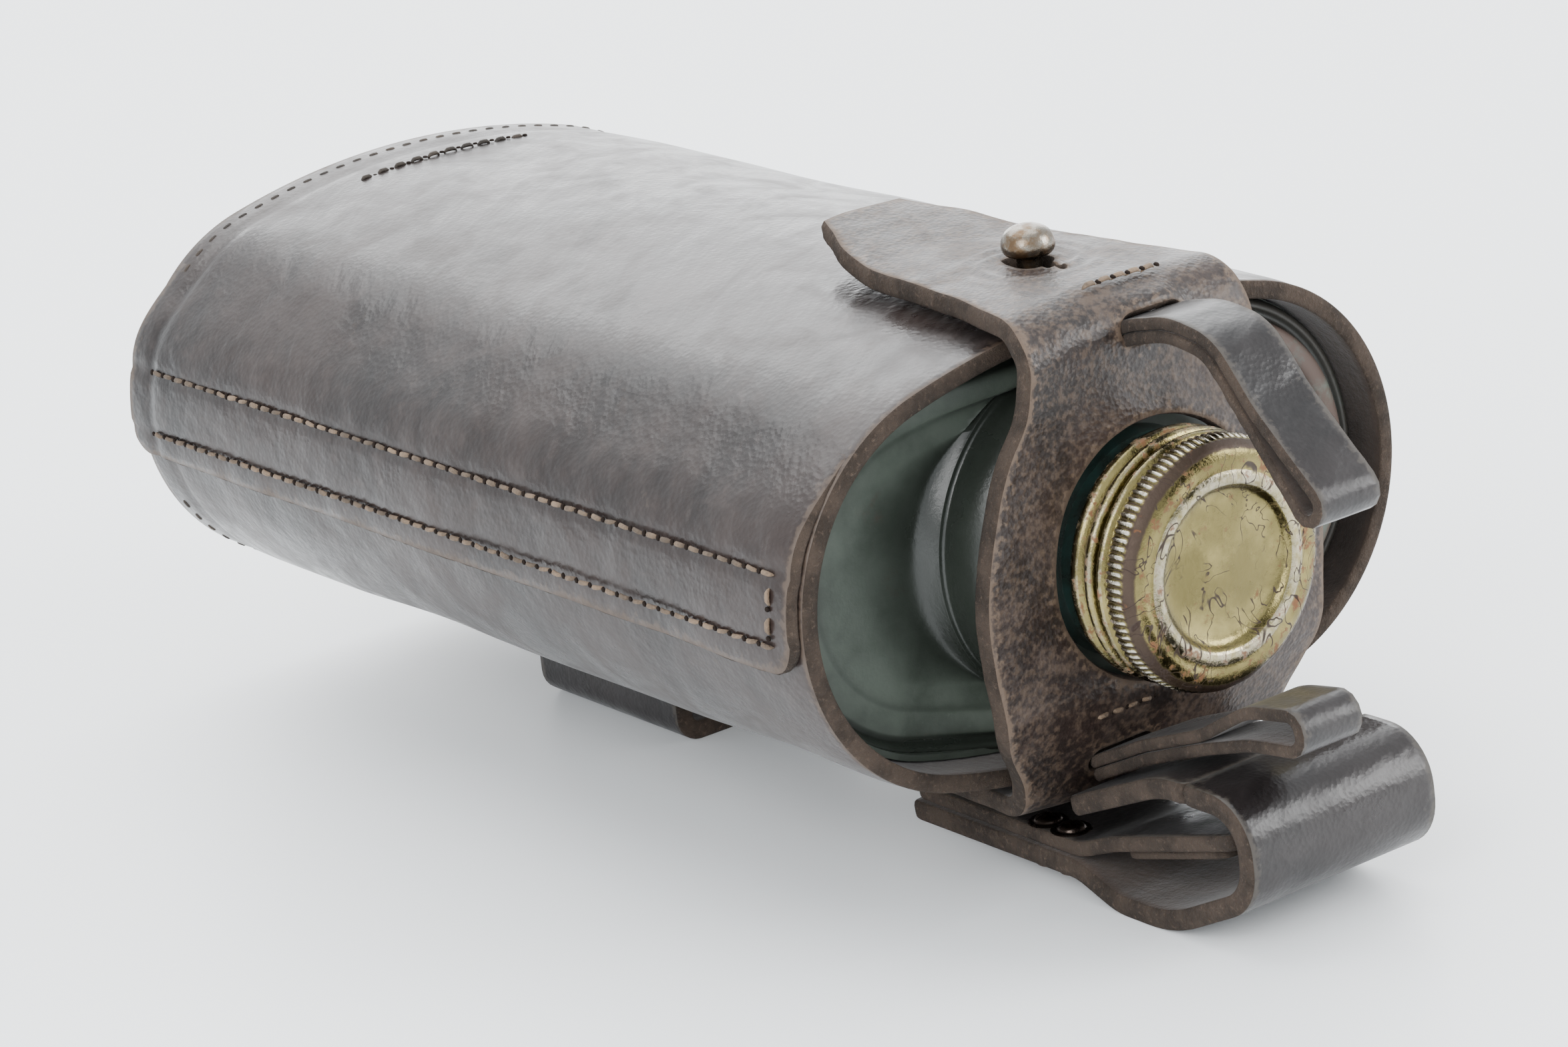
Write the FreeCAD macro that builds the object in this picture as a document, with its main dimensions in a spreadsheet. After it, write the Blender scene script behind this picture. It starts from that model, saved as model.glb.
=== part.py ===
import math
import os

import FreeCAD
import Part
import Sketcher

# A leather-cased field flask, lying on its back strap and keeper.
# Every piece is drawn in the case's own frame: X across the flask, Y from the open mouth
# towards the base, Z from the middle of the section towards the front face.
# Its Placement then puts it in the part's frame: floor at Z 0, origin under the middle.

SIZES = [
    ("case_width", 120.0, "width of the leather case"),
    ("case_depth", 73.3, "front to back of the leather case"),
    ("case_length", 192.0, "mouth rim to base rim"),
    ("end_radius", 33.0, "radius of the two rounded sides"),
    ("case_wall", 3.4, "leather of the case wall"),
    ("seam_step", 2.4, "how far the side seam's flap stands proud"),
    ("seam_top", 13.5, "height of the flap's skived edge"),
    ("seam_bottom", -4.2, "height of the flap's cut edge"),
    ("seam_start", 2.0, "mouth rim to the flap's end"),
    ("base_recess", 9.0, "how deep the base panel is set in"),
    ("base_leather", 2.6, "leather of the base"),
    ("axis_height", 52.2, "middle of the case above the floor"),
    ("front_reach", 55.9, "mouth rim to the foremost loop"),
    ("bottle_gap", 0.4, "bottle to case wall"),
    ("bottle_skin", 1.0, "sheet of the bottle"),
    ("top_recess", 4.2, "mouth rim to the bottle's top bead"),
    ("bead_width", 4.6, "width of the bead round the top"),
    ("bead_rise", 2.4, "height of the bead round the top"),
    ("boss_radius", 27.0, "foot of the boss round the neck"),
    ("boss_rise", 12.2, "boss above the top plate"),
    ("collar_radius", 18.0, "collar at the neck's root"),
    ("collar_reach", 9.6, "mouth rim out to the collar's face"),
    ("neck_radius", 15.5, "outside of the neck tube"),
    ("neck_bore", 14.3, "bore of the neck"),
    ("neck_reach", 23.35, "mouth rim out to the neck's lip"),
    ("thread_pitch", 3.0, "pitch of the screw thread"),
    ("thread_rise", 0.85, "height of the thread"),
    ("cap_radius", 19.8, "knurled ring of the cap"),
    ("cap_foot", 12.8, "mouth rim out to the cap's skirt"),
    ("cap_reach", 27.0, "mouth rim out to the cap's face bead"),
    ("cap_bore", 16.95, "bore of the cap's skirt"),
    ("disc_radius", 12.2, "sunk disc in the cap's face"),
    ("seal_radius", 16.2, "sealing disc"),
    ("seal_thick", 1.7, "thickness of the sealing disc"),
    ("strap_leather", 3.2, "leather of the yoke and belt strap"),
    ("loop_leather", 1.9, "leather of the two small loops"),
    ("lining_leather", 2.4, "leather of the inner belt strap"),
    ("yoke_stand", 8.1, "mouth rim out to the yoke's inner face"),
    ("yoke_hole", 20.6, "radius of the hole the neck passes through"),
    ("yoke_half", 33.6, "half width of the yoke beside the neck"),
    ("tail_half", 24.0, "half width of the yoke's tail"),
    ("tail_length", 24.0, "yoke's tail along the back"),
    ("hinge_y", 1.6, "line where the tongue starts to bend"),
    ("tongue_height", 37.4, "underside of the tongue at its root"),
    ("tongue_reach", 54.5, "mouth rim back to the tongue's tip"),
    ("tip_half", 8.6, "half width of the tongue's tip"),
    ("hinge_gap", 0.5, "gap at each strap's bending line"),
    ("stud_y", 13.6, "mouth rim back to the button stud"),
    ("stud_head", 3.65, "radius of the stud's head"),
    ("stud_post", 1.9, "radius of the stud's post"),
    ("loop_width", 11.4, "width of the two small loops"),
    ("front_loop_x", 2.7, "middle of the front loop"),
    ("rear_loop_x", -8.0, "middle of the rear loop"),
    ("belt_width", 36.6, "width of the belt strap"),
    ("stack_end", 32.0, "rear end of the belt strap"),
    ("fold_reach", 47.8, "mouth rim out to the belt strap's fold"),
    ("fold_radius", 8.5, "radius of the belt strap's fold"),
    ("keeper_half", 15.1, "half width inside the keeper"),
    ("keeper_start", 96.5, "mouth rim back to the keeper"),
    ("keeper_width", 40.5, "keeper along the case"),
    ("belt_hinge", 6.5, "line where the belt strap starts to hang"),
    ("belt_level", -49.0, "underside of the belt strap at its root"),
    ("lining_level", -45.5, "underside of the inner strap at its root"),
    ("flap_hinge", -32.75, "line where the belt strap's flap bends"),
    ("flap_height", -27.0, "top of the belt strap after its fold"),
    ("rivet_head", 2.4, "radius of the belt rivets' heads"),
    ("rivet_shank", 1.2, "radius of the belt rivets' shanks"),
    ("root_shank", 1.6, "radius of the root rivets' shanks"),
    ("stitch_pitch", 3.6, "one stitch to the next"),
    ("stitch_length", 2.5, "length of a stitch"),
    ("thread_radius", 0.4, "radius of the sewing thread"),
]

os.makedirs("parts", exist_ok=True)
doc = FreeCAD.newDocument("hip_flask")
sheet = doc.addObject("Spreadsheet::Sheet", "Sizes")
for row, (alias, number, note) in enumerate(SIZES, start=1):
    sheet.set(f"A{row}", alias)
    sheet.set(f"B{row}", str(number))
    sheet.set(f"C{row}", note)
    sheet.setAlias(f"B{row}", alias)
doc.recompute()

NODES = {}

# The oval section is four tangent arcs: two round sides and two flat crowns.
SIDE_CENTRE = "(Sizes.case_width / 2 - Sizes.end_radius)"
CROWN = (
    f"(({SIDE_CENTRE}^2 + (Sizes.case_depth / 2)^2 - Sizes.end_radius^2)"
    " / (Sizes.case_depth - 2 * Sizes.end_radius))"
)
# A sketch point nearer than this to an axis is held on the axis itself.
ON_AXIS = 1e-9
BOTTLE_INSET = "(Sizes.case_wall + Sizes.bottle_gap)"
BOTTLE_END = "(Sizes.case_length - Sizes.base_recess - Sizes.base_leather - 0.5)"


def value(expression):
    """The number that an expression on the sheet gives."""
    if not isinstance(expression, str):
        return float(expression)
    result = sheet.evalExpression(expression.replace("Sizes.", ""))
    return float(getattr(result, "Value", result))


def keep(name, piece):
    """Names a finished piece and moves it from the case's frame to the part's frame."""
    piece.Label = name
    piece.setExpression("Placement.Base.x", "Sizes.seam_step / 2")
    piece.setExpression("Placement.Base.y", "(Sizes.front_reach - Sizes.case_length) / 2")
    piece.setExpression("Placement.Base.z", "Sizes.axis_height")
    NODES[name] = piece
    return piece


# ---------------------------------------------------------------- sketch helpers


def bind(sketch, constraint, expression):
    index = sketch.addConstraint(constraint)
    sketch.setExpression(f"Constraints[{index}]", expression)


def pin_point(sketch, item, end, across, along):
    """Holds one end of a line or arc at a place that the sheet gives."""
    for kind, place in (("DistanceX", across), ("DistanceY", along)):
        number = value(place)
        if abs(number) < ON_AXIS:
            axis = -2 if kind == "DistanceX" else -1
            sketch.addConstraint(Sketcher.Constraint("PointOnObject", item, end, axis))
        elif isinstance(place, str):
            bind(sketch, Sketcher.Constraint(kind, -1, 1, item, end, number), place)
        else:
            sketch.addConstraint(Sketcher.Constraint(kind, -1, 1, item, end, number))


def draw_oval(sketch, inset):
    """The case's section, drawn a distance inside its outer line."""
    side = value(SIDE_CENTRE)
    crown = value(CROWN)
    drop = crown - value("Sizes.case_depth / 2")
    small = value("Sizes.end_radius") - value(inset)
    large = crown - value(inset)
    turn = math.atan2(drop, side)
    arcs = [
        (side, 0.0, small, -turn, turn),
        (0.0, -drop, large, turn, math.pi - turn),
        (-side, 0.0, small, math.pi - turn, math.pi + turn),
        (0.0, drop, large, math.pi + turn, 2 * math.pi - turn),
    ]
    first = sketch.GeometryCount
    for x, y, radius, start, stop in arcs:
        circle = Part.Circle(FreeCAD.Vector(x, y, 0), FreeCAD.Vector(0, 0, 1), radius)
        sketch.addGeometry(Part.ArcOfCircle(circle, start, stop), False)
    right, top, left, bottom = range(first, first + 4)
    sketch.addConstraint(Sketcher.Constraint("Tangent", right, 2, top, 1))
    for item, axis in ((right, -1), (top, -2), (left, -1)):
        sketch.addConstraint(Sketcher.Constraint("Symmetric", item, 1, item, 2, axis))
    for one, other in ((top, left), (left, bottom), (bottom, right)):
        sketch.addConstraint(Sketcher.Constraint("Coincident", one, 2, other, 1))
    sketch.addConstraint(Sketcher.Constraint("Equal", right, left))
    sketch.addConstraint(Sketcher.Constraint("Equal", top, bottom))
    bind(sketch, Sketcher.Constraint("DistanceX", -1, 1, right, 3, side), SIDE_CENTRE)
    bind(sketch, Sketcher.Constraint("Radius", right, small), f"Sizes.end_radius - {inset}")
    bind(sketch, Sketcher.Constraint("Radius", top, large), f"{CROWN} - {inset}")


def draw_polygon(sketch, corners):
    """A closed outline whose corners are held by the sheet."""
    points = [FreeCAD.Vector(value(x), value(y), 0) for x, y in corners]
    first = sketch.GeometryCount
    for start, stop in zip(points, points[1:] + points[:1]):
        sketch.addGeometry(Part.LineSegment(start, stop), False)
    count = len(points)
    for step in range(count):
        following = first + (step + 1) % count
        sketch.addConstraint(Sketcher.Constraint("Coincident", first + step, 2, following, 1))
    for step, (across, along) in enumerate(corners):
        pin_point(sketch, first + step, 1, across, along)


def draw_rounded(sketch, corners, radii, closed=False):
    """Straight runs joined by tangent arcs, open or closed, through named corners."""
    points = [FreeCAD.Vector(value(x), value(y), 0) for x, y in corners]
    count = len(points)
    turning = range(count) if closed else range(1, count - 1)
    cuts = {}
    for place, radius in zip(turning, radii):
        corner = points[place]
        back = (points[place - 1] - corner).normalize()
        ahead = (points[(place + 1) % count] - corner).normalize()
        half = back.getAngle(ahead) / 2
        reach = value(radius) / math.tan(half)
        middle = (back + ahead).normalize()
        centre = corner + middle * (value(radius) / math.sin(half))
        cuts[place] = (corner + back * reach, centre - middle * value(radius), corner + ahead * reach)
    pieces = []
    for place in range(count if closed else count - 1):
        following = (place + 1) % count
        start = cuts[place][2] if place in cuts else points[place]
        stop = cuts[following][0] if following in cuts else points[following]
        pieces.append((Part.LineSegment(start, stop), None))
        if following in cuts:
            radius = radii[list(turning).index(following)]
            pieces.append((Part.Arc(*cuts[following]), radius))
    items = [sketch.addGeometry(shape, False) for shape, radius in pieces]
    for step, item in enumerate(items):
        if step == len(items) - 1 and not closed:
            break
        join_ends(sketch, item, items[(step + 1) % len(items)])
    for item, (shape, radius) in zip(items, pieces):
        if isinstance(radius, str):
            bind(sketch, Sketcher.Constraint("Radius", item, value(radius)), radius)


def join_ends(sketch, one, other):
    """Joins the two nearest ends: an arc through three points may run either way."""
    best = min(
        ((a, b) for a in (1, 2) for b in (1, 2)),
        key=lambda ends: sketch.getPoint(one, ends[0]).distanceToPoint(
            sketch.getPoint(other, ends[1])
        ),
    )
    sketch.addConstraint(Sketcher.Constraint("Coincident", one, best[0], other, best[1]))


# ---------------------------------------------------------------- body helpers


def new_body(name):
    return doc.addObject("PartDesign::Body", f"{name}_body")


def body_sketch(body, name, role, lift=None):
    """A sketch on one of the body's own planes, lifted along the plane's normal."""
    planes = [part for part in body.Origin.OriginFeatures if part.Role == role]
    sketch = body.newObject("Sketcher::SketchObject", name)
    sketch.AttachmentSupport = [(planes[0], "")]
    sketch.MapMode = "FlatFace"
    if lift is not None:
        sketch.setExpression("AttachmentOffset.Base.z", lift)
    return sketch


def oval_sketch(body, name, inset, start):
    """The oval section across the case, a distance from the mouth rim."""
    sketch = body_sketch(body, name, "XZ_Plane", f"-({start})")
    draw_oval(sketch, inset)
    return sketch


def add_pad(body, sketch, length):
    feature = body.newObject("PartDesign::Pad", f"{sketch.Name}_pad")
    feature.Profile = sketch
    feature.Reversed = True
    feature.setExpression("Length", length)
    return feature


def add_pocket(body, sketch, length):
    feature = body.newObject("PartDesign::Pocket", f"{sketch.Name}_pocket")
    feature.Profile = sketch
    feature.Reversed = False
    feature.setExpression("Length", length)
    return feature


def turned(name, corners):
    """A piece turned about the neck's axis from a profile of radius and Y."""
    body = new_body(name)
    sketch = body_sketch(body, f"{name}_profile", "XY_Plane")
    draw_polygon(sketch, corners)
    spin = body.newObject("PartDesign::Revolution", f"{name}_turn")
    spin.Profile = sketch
    spin.ReferenceAxis = (sketch, ["V_Axis"])
    spin.Angle = 360
    return body


# ---------------------------------------------------------------- strap helpers

SIDE_VIEW = FreeCAD.Rotation(
    FreeCAD.Vector(0, 1, 0), FreeCAD.Vector(0, 0, 1), FreeCAD.Vector(1, 0, 0), "ZXY"
)
FRONT_VIEW = FreeCAD.Rotation(
    FreeCAD.Vector(1, 0, 0), FreeCAD.Vector(0, 0, 1), FreeCAD.Vector(0, -1, 0), "ZXY"
)
TOP_VIEW = FreeCAD.Rotation()

# Centres of the rivets that join the two belt straps, and of those that hold them to the case.
BELT_RIVETS = [(side * 14.9, along) for side in (-1, 1) for along in (-2.6, 2.9)]
ROOT_RIVETS = [(side * 9.0, 17.0) for side in (-1, 1)]


def loose_sketch(name, view):
    sketch = doc.addObject("Sketcher::SketchObject", name)
    sketch.Placement = FreeCAD.Placement(FreeCAD.Vector(), view)
    return sketch


def extruded(name, base, direction, length):
    solid = doc.addObject("Part::Extrusion", name)
    solid.Base = base
    solid.DirMode = "Custom"
    solid.Dir = direction
    solid.Solid = True
    solid.Symmetric = True
    solid.setExpression("LengthFwd", length)
    return solid


def strap(name, corners, radii, leather, width, view=SIDE_VIEW):
    """A leather strip of even width: one face's line, thickened and drawn out sideways."""
    line = loose_sketch(f"{name}_line", view)
    draw_rounded(line, corners, radii)
    section = doc.addObject("Part::Offset2D", f"{name}_section")
    section.Source = line
    section.Mode = "Skin"
    section.Join = "Arc"
    section.Fill = True
    section.setExpression("Value", leather)
    across = FreeCAD.Vector(1, 0, 0) if view == SIDE_VIEW else FreeCAD.Vector(0, 1, 0)
    return extruded(f"{name}_strip", section, across, width)


def outline(name, corners, radii, view, direction):
    """A tall prism whose outline trims a strap to shape."""
    sketch = loose_sketch(f"{name}_outline", view)
    draw_rounded(sketch, corners, radii, closed=True)
    return extruded(f"{name}_prism", sketch, direction, "400")


def common(name, one, other):
    result = doc.addObject("Part::Common", name)
    result.Base = one
    result.Tool = other
    return result


def cut(name, one, other):
    result = doc.addObject("Part::Cut", name)
    result.Base = one
    result.Tool = other
    return result


def rod(name, place, direction, radius, length):
    """A plain cylinder, used as a cutter or as part of a stud."""
    solid = doc.addObject("Part::Cylinder", name)
    solid.setExpression("Radius", radius)
    solid.setExpression("Height", length)
    solid.Placement = FreeCAD.Placement(
        FreeCAD.Vector(*[value(number) for number in place]),
        FreeCAD.Rotation(FreeCAD.Vector(0, 0, 1), direction),
    )
    return solid


def pierced(name, piece, spots, radius):
    """Bores an upright hole through a piece at each spot."""
    for number, (x, y) in enumerate(spots):
        bore = rod(f"{name}_bore_{number}", (x, y, -60), FreeCAD.Vector(0, 0, 1), radius, "60")
        piece = cut(f"{name}_bored_{number}", piece, bore)
    return piece


def mirrored(corners):
    """Adds the mirror image of a half outline, going back along the other side."""
    return corners + [(f"-({x})", y) for x, y in reversed(corners)]


# ---------------------------------------------------------------- leather case


def make_case_body():
    body = new_body("case")
    add_pad(body, oval_sketch(body, "case_outer", "0", "0"), "Sizes.case_length")
    add_pocket(body, oval_sketch(body, "case_inner", "Sizes.case_wall", "-1"), "400")
    doc.recompute()
    flap = doc.addObject("Part::Box", "seam_flap")
    flap.setExpression("Length", "Sizes.end_radius")
    flap.setExpression("Width", "Sizes.case_length - Sizes.seam_start - 1")
    flap.setExpression("Height", "Sizes.seam_top - Sizes.seam_bottom")
    flap.setExpression("Placement.Base.x", "-Sizes.case_width / 2 - Sizes.seam_step")
    flap.setExpression("Placement.Base.y", "Sizes.seam_start")
    flap.setExpression("Placement.Base.z", "Sizes.seam_bottom")
    rounding = rod("seam_round", ("-Sizes.case_width / 2 + Sizes.end_radius", 0, 0),
                   FreeCAD.Vector(0, 1, 0), "Sizes.end_radius + Sizes.seam_step", "400")
    hollow = rod("seam_hollow", ("-Sizes.case_width / 2 + Sizes.end_radius", -1, 0),
                 FreeCAD.Vector(0, 1, 0), "Sizes.end_radius - 0.5", "400")
    layer = cut("seam_layer", common("seam_curve", flap, rounding), hollow)
    wall = doc.addObject("Part::Fuse", "case_with_seam")
    wall.Base = body
    wall.Tool = layer
    hole = rod("stud_hole", (0, "Sizes.stud_y", 20), FreeCAD.Vector(0, 0, 1),
               "Sizes.stud_post + 0.05", "60")
    recess = rod("stud_recess", (0, "Sizes.stud_y", 20), FreeCAD.Vector(0, 0, 1),
                 "7.2", "Sizes.case_depth / 2 - 20 - Sizes.case_wall + 1.5")
    drilled = cut("case_drilled", cut("case_bored", wall, hole), recess)
    riveted = pierced("case_back", drilled, ROOT_RIVETS, "Sizes.root_shank + 0.05")
    sunk = "-Sizes.case_depth / 2 + Sizes.case_wall - 1.3"
    for number, (x, y) in enumerate(ROOT_RIVETS):
        sink = rod(f"rivet_sink_{number}", (x, y, sunk), FreeCAD.Vector(0, 0, 1), "3.5", "8")
        riveted = cut(f"case_sunk_{number}", riveted, sink)
    keep("case_body", riveted)


def make_case_base():
    """A cup of leather let into the wall, with its flange turned towards the base rim."""
    body = new_body("case_base")
    inset = "(Sizes.case_wall + 0.05)"
    start = "Sizes.case_length - Sizes.base_recess - Sizes.base_leather"
    add_pad(body, oval_sketch(body, "base_outer", inset, start),
            "Sizes.base_recess + Sizes.base_leather")
    inner = oval_sketch(body, "base_inner", f"({inset} + Sizes.base_leather)",
                        f"{start} + Sizes.base_leather")
    add_pocket(body, inner, "50")
    keep("case_base", body)


# ---------------------------------------------------------------- bottle


def make_bottle():
    body = new_body("bottle")
    start = "(Sizes.top_recess + Sizes.bead_rise + Sizes.bottle_skin)"
    length = f"{BOTTLE_END} - {start} - Sizes.bottle_skin"
    add_pad(body, oval_sketch(body, "bottle_outer", BOTTLE_INSET, start), length)
    inner = oval_sketch(body, "bottle_inner", f"({BOTTLE_INSET} + Sizes.bottle_skin)",
                        f"{start} - 1")
    add_pocket(body, inner, "400")
    keep("bottle_body", body)

    bottom = new_body("bottle_base")
    start = f"{BOTTLE_END} - Sizes.bottle_skin"
    add_pad(bottom, oval_sketch(bottom, "bottom_plate", BOTTLE_INSET, start),
            "Sizes.bottle_skin")
    keep("bottle_base", bottom)


def make_shoulder():
    """The bottle's top plate, with a raised bead round it and a boss round the neck."""
    body = new_body("shoulder")
    plate = "(Sizes.top_recess + Sizes.bead_rise)"
    add_pad(body, oval_sketch(body, "plate", BOTTLE_INSET, plate), "Sizes.bottle_skin")
    bead = oval_sketch(body, "bead_outer", f"({BOTTLE_INSET} + 1.2)", "Sizes.top_recess")
    draw_oval(bead, f"({BOTTLE_INSET} + 1.2 + Sizes.bead_width)")
    add_pad(body, bead, "Sizes.bead_rise")
    mouth = body_sketch(body, "plate_mouth", "XZ_Plane", "-50")
    circle = Part.Circle(FreeCAD.Vector(), FreeCAD.Vector(0, 0, 1), value("Sizes.boss_radius") - 1)
    mouth.addGeometry(circle, False)
    mouth.addConstraint(Sketcher.Constraint("Coincident", 0, 3, -1, 1))
    bind(mouth, Sketcher.Constraint("Radius", 0, circle.Radius), "Sizes.boss_radius - 1")
    hole = body.newObject("PartDesign::Pocket", "plate_hole")
    hole.Profile = mouth
    hole.Type = "ThroughAll"
    hole.Midplane = True
    foot = "(Sizes.top_recess + Sizes.bead_rise + Sizes.bottle_skin)"
    crest = f"({foot} - Sizes.boss_rise)"
    profile = body_sketch(body, "boss_profile", "XY_Plane")
    draw_polygon(profile, [
        ("Sizes.boss_radius", foot),
        ("Sizes.boss_radius", f"{foot} - 4"),
        ("Sizes.boss_radius - 1.6", f"{foot} - 7.5"),
        ("Sizes.boss_radius - 4.6", f"{foot} - 10.2"),
        ("Sizes.collar_radius + 1", crest),
        ("Sizes.neck_radius + 0.05", crest),
        ("Sizes.neck_radius + 0.05", f"{crest} + Sizes.bottle_skin"),
        ("Sizes.collar_radius + 1", f"{crest} + Sizes.bottle_skin"),
        ("Sizes.boss_radius - 5.4", f"{foot} - 9"),
        ("Sizes.boss_radius - 2.6", f"{foot} - 6.8"),
        ("Sizes.boss_radius - 1.2", f"{foot} - 3.6"),
        ("Sizes.boss_radius - 1.2", foot),
    ])
    boss = body.newObject("PartDesign::Revolution", "boss")
    boss.Profile = profile
    boss.ReferenceAxis = (profile, ["V_Axis"])
    boss.Angle = 360
    keep("bottle_shoulder", body)


def add_helix(body, name, corners, turns):
    """A right-handed thread ridge wound about the neck's axis, towards the lip."""
    profile = body_sketch(body, f"{name}_ridge", "XY_Plane")
    draw_polygon(profile, corners)
    ridge = body.newObject("PartDesign::AdditiveHelix", name)
    ridge.Profile = profile
    ridge.ReferenceAxis = (profile, ["V_Axis"])
    ridge.Mode = "pitch-turns-angle"
    ridge.Angle = 0
    ridge.LeftHanded = False
    ridge.Reversed = True
    ridge.setExpression("Pitch", "Sizes.thread_pitch")
    ridge.Turns = turns


def make_neck():
    collar = "-Sizes.collar_reach"
    body = turned("neck", [
        ("Sizes.neck_bore", "-Sizes.neck_reach"),
        ("Sizes.neck_radius", "-Sizes.neck_reach"),
        ("Sizes.neck_radius", collar),
        ("Sizes.collar_radius", collar),
        ("Sizes.collar_radius", "-Sizes.collar_reach + 4.8"),
        ("Sizes.neck_radius", "-Sizes.collar_reach + 4.8"),
        ("Sizes.neck_radius", "2"),
        ("Sizes.neck_bore", "2"),
    ])
    top = "-Sizes.cap_foot - 1.6"
    add_helix(body, "neck_thread", [
        ("Sizes.neck_radius - 0.2", f"{top} + 0.9"),
        ("Sizes.neck_radius + Sizes.thread_rise", f"{top} + 0.3"),
        ("Sizes.neck_radius + Sizes.thread_rise", f"{top} - 0.3"),
        ("Sizes.neck_radius - 0.2", f"{top} - 0.9"),
    ], 2.25)
    keep("bottle_neck", body)


# ---------------------------------------------------------------- cap


def make_cap():
    """A drawn screw cap: skirt with two rolled beads, knurled ring and sunk face."""
    foot = "-Sizes.cap_foot"
    rim = "-Sizes.cap_reach"
    body = turned("cap", [
        ("Sizes.cap_bore", foot),
        ("Sizes.cap_radius - 1.0", foot),
        ("Sizes.cap_radius - 0.7", f"{foot} - 2.6"),
        ("Sizes.cap_radius - 1.5", f"{foot} - 3.1"),
        ("Sizes.cap_radius - 0.5", f"{foot} - 3.9"),
        ("Sizes.cap_radius - 0.5", f"{foot} - 4.7"),
        ("Sizes.cap_radius - 1.5", f"{foot} - 5.5"),
        ("Sizes.cap_radius - 0.5", f"{foot} - 6.3"),
        ("Sizes.cap_radius - 0.5", f"{foot} - 7.1"),
        ("Sizes.cap_radius - 1.3", f"{foot} - 7.8"),
        ("Sizes.cap_radius", f"{foot} - 8.4"),
        ("Sizes.cap_radius", f"{foot} - 11.0"),
        ("Sizes.cap_radius - 0.9", f"{rim} + 1.9"),
        ("Sizes.cap_radius - 2.4", f"{rim} + 0.7"),
        ("Sizes.disc_radius + 2.6", f"{rim} + 0.4"),
        ("Sizes.disc_radius + 1.4", rim),
        ("Sizes.disc_radius + 0.6", rim),
        ("Sizes.disc_radius - 0.4", f"{rim} + 1.1"),
        (0, f"{rim} + 1.1"),
        (0, f"{rim} + 1.9"),
        ("Sizes.cap_bore", f"{rim} + 1.9"),
    ])
    middle = f"({foot} - 3.1)"
    add_helix(body, "cap_thread", [
        ("Sizes.cap_bore + 0.2", f"{middle} + 0.8"),
        ("Sizes.cap_bore + 0.2", f"{middle} - 0.8"),
        ("Sizes.cap_bore - Sizes.thread_rise", f"{middle} - 0.3"),
        ("Sizes.cap_bore - Sizes.thread_rise", f"{middle} + 0.3"),
    ], 2.0)
    keep("cap_shell", body)


def make_seal():
    lip = "-Sizes.neck_reach - 0.03"
    body = turned("seal", [
        (0, lip),
        ("Sizes.seal_radius", lip),
        ("Sizes.seal_radius", f"{lip} - Sizes.seal_thick"),
        (0, f"{lip} - Sizes.seal_thick"),
    ])
    keep("cap_seal", body)


# ---------------------------------------------------------------- yoke and its tongue


def make_yoke():
    """The strap over the mouth: tail along the back, hole for the neck, front bend."""
    back = "-Sizes.case_depth / 2 - 0.25"
    strip = strap("yoke", [
        ("Sizes.tail_length", back),
        (-2, back),
        ("-Sizes.yoke_stand", -22),
        ("-Sizes.yoke_stand", "Sizes.tongue_height"),
        ("Sizes.hinge_y", "Sizes.tongue_height"),
    ], [5.0, 16.0, 5.5], "-Sizes.strap_leather", "2 * Sizes.yoke_half + 10")
    shape = outline("yoke", mirrored([
        ("Sizes.tail_half", -60),
        ("Sizes.tail_half", -36),
        ("Sizes.yoke_half - 0.6", -24),
        ("Sizes.yoke_half + 0.6", 0),
        ("Sizes.yoke_half - 9.6", 26),
        ("Sizes.yoke_half - 13.4", 60),
    ]), [0.5, 9.0, 14.0, 26.0, 22.0, 0.5, 0.5, 22.0, 26.0, 14.0, 9.0, 0.5],
        FRONT_VIEW, FreeCAD.Vector(0, 1, 0))
    hole = rod("yoke_hole", (0, 30, 0), FreeCAD.Vector(0, -1, 0), "Sizes.yoke_hole", "60")
    body = cut("yoke_cut", common("yoke_trimmed", strip, shape), hole)
    keep("yoke", pierced("yoke_tail", body, ROOT_RIVETS, "Sizes.root_shank + 0.05"))


def make_tongue():
    """The yoke's free end, from its bending line to the tip, with the button hole."""
    root = "Sizes.hinge_y + Sizes.hinge_gap"
    strip = strap("tongue", [
        (root, "Sizes.tongue_height"),
        (21, "Sizes.tongue_height + 0.9"),
        (37, "Sizes.tongue_height + 0.4"),
        ("Sizes.tongue_reach", "Sizes.tongue_height + 2.9"),
    ], [60.0, 60.0], "-Sizes.strap_leather", "60")
    shape = outline("tongue", mirrored([
        ("Sizes.tip_half + 11.6", -5),
        ("Sizes.tip_half + 9.0", 12),
        ("Sizes.tip_half + 8.0", 28),
        ("Sizes.tip_half + 1.2", "Sizes.tongue_reach - 2"),
        ("Sizes.tip_half - 2.5", "Sizes.tongue_reach + 2"),
    ]), [0.5, 30.0, 24.0, 2.0, 0.3, 0.3, 2.0, 24.0, 30.0, 0.5], TOP_VIEW, FreeCAD.Vector(0, 0, 1))
    slit = outline("button_hole", [
        ("-Sizes.stud_head - 0.6", "Sizes.stud_y - Sizes.stud_head - 1.6"),
        ("Sizes.stud_head + 0.6", "Sizes.stud_y - Sizes.stud_head - 1.6"),
        ("Sizes.stud_head + 0.6", "Sizes.stud_y + Sizes.stud_head + 3.4"),
        ("-Sizes.stud_head - 0.6", "Sizes.stud_y + Sizes.stud_head + 3.4"),
    ], [3.9, 3.9, 3.9, 3.9], TOP_VIEW, FreeCAD.Vector(0, 0, 1))
    keep("yoke_tongue", cut("tongue_cut", common("tongue_trimmed", strip, shape), slit))


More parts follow.
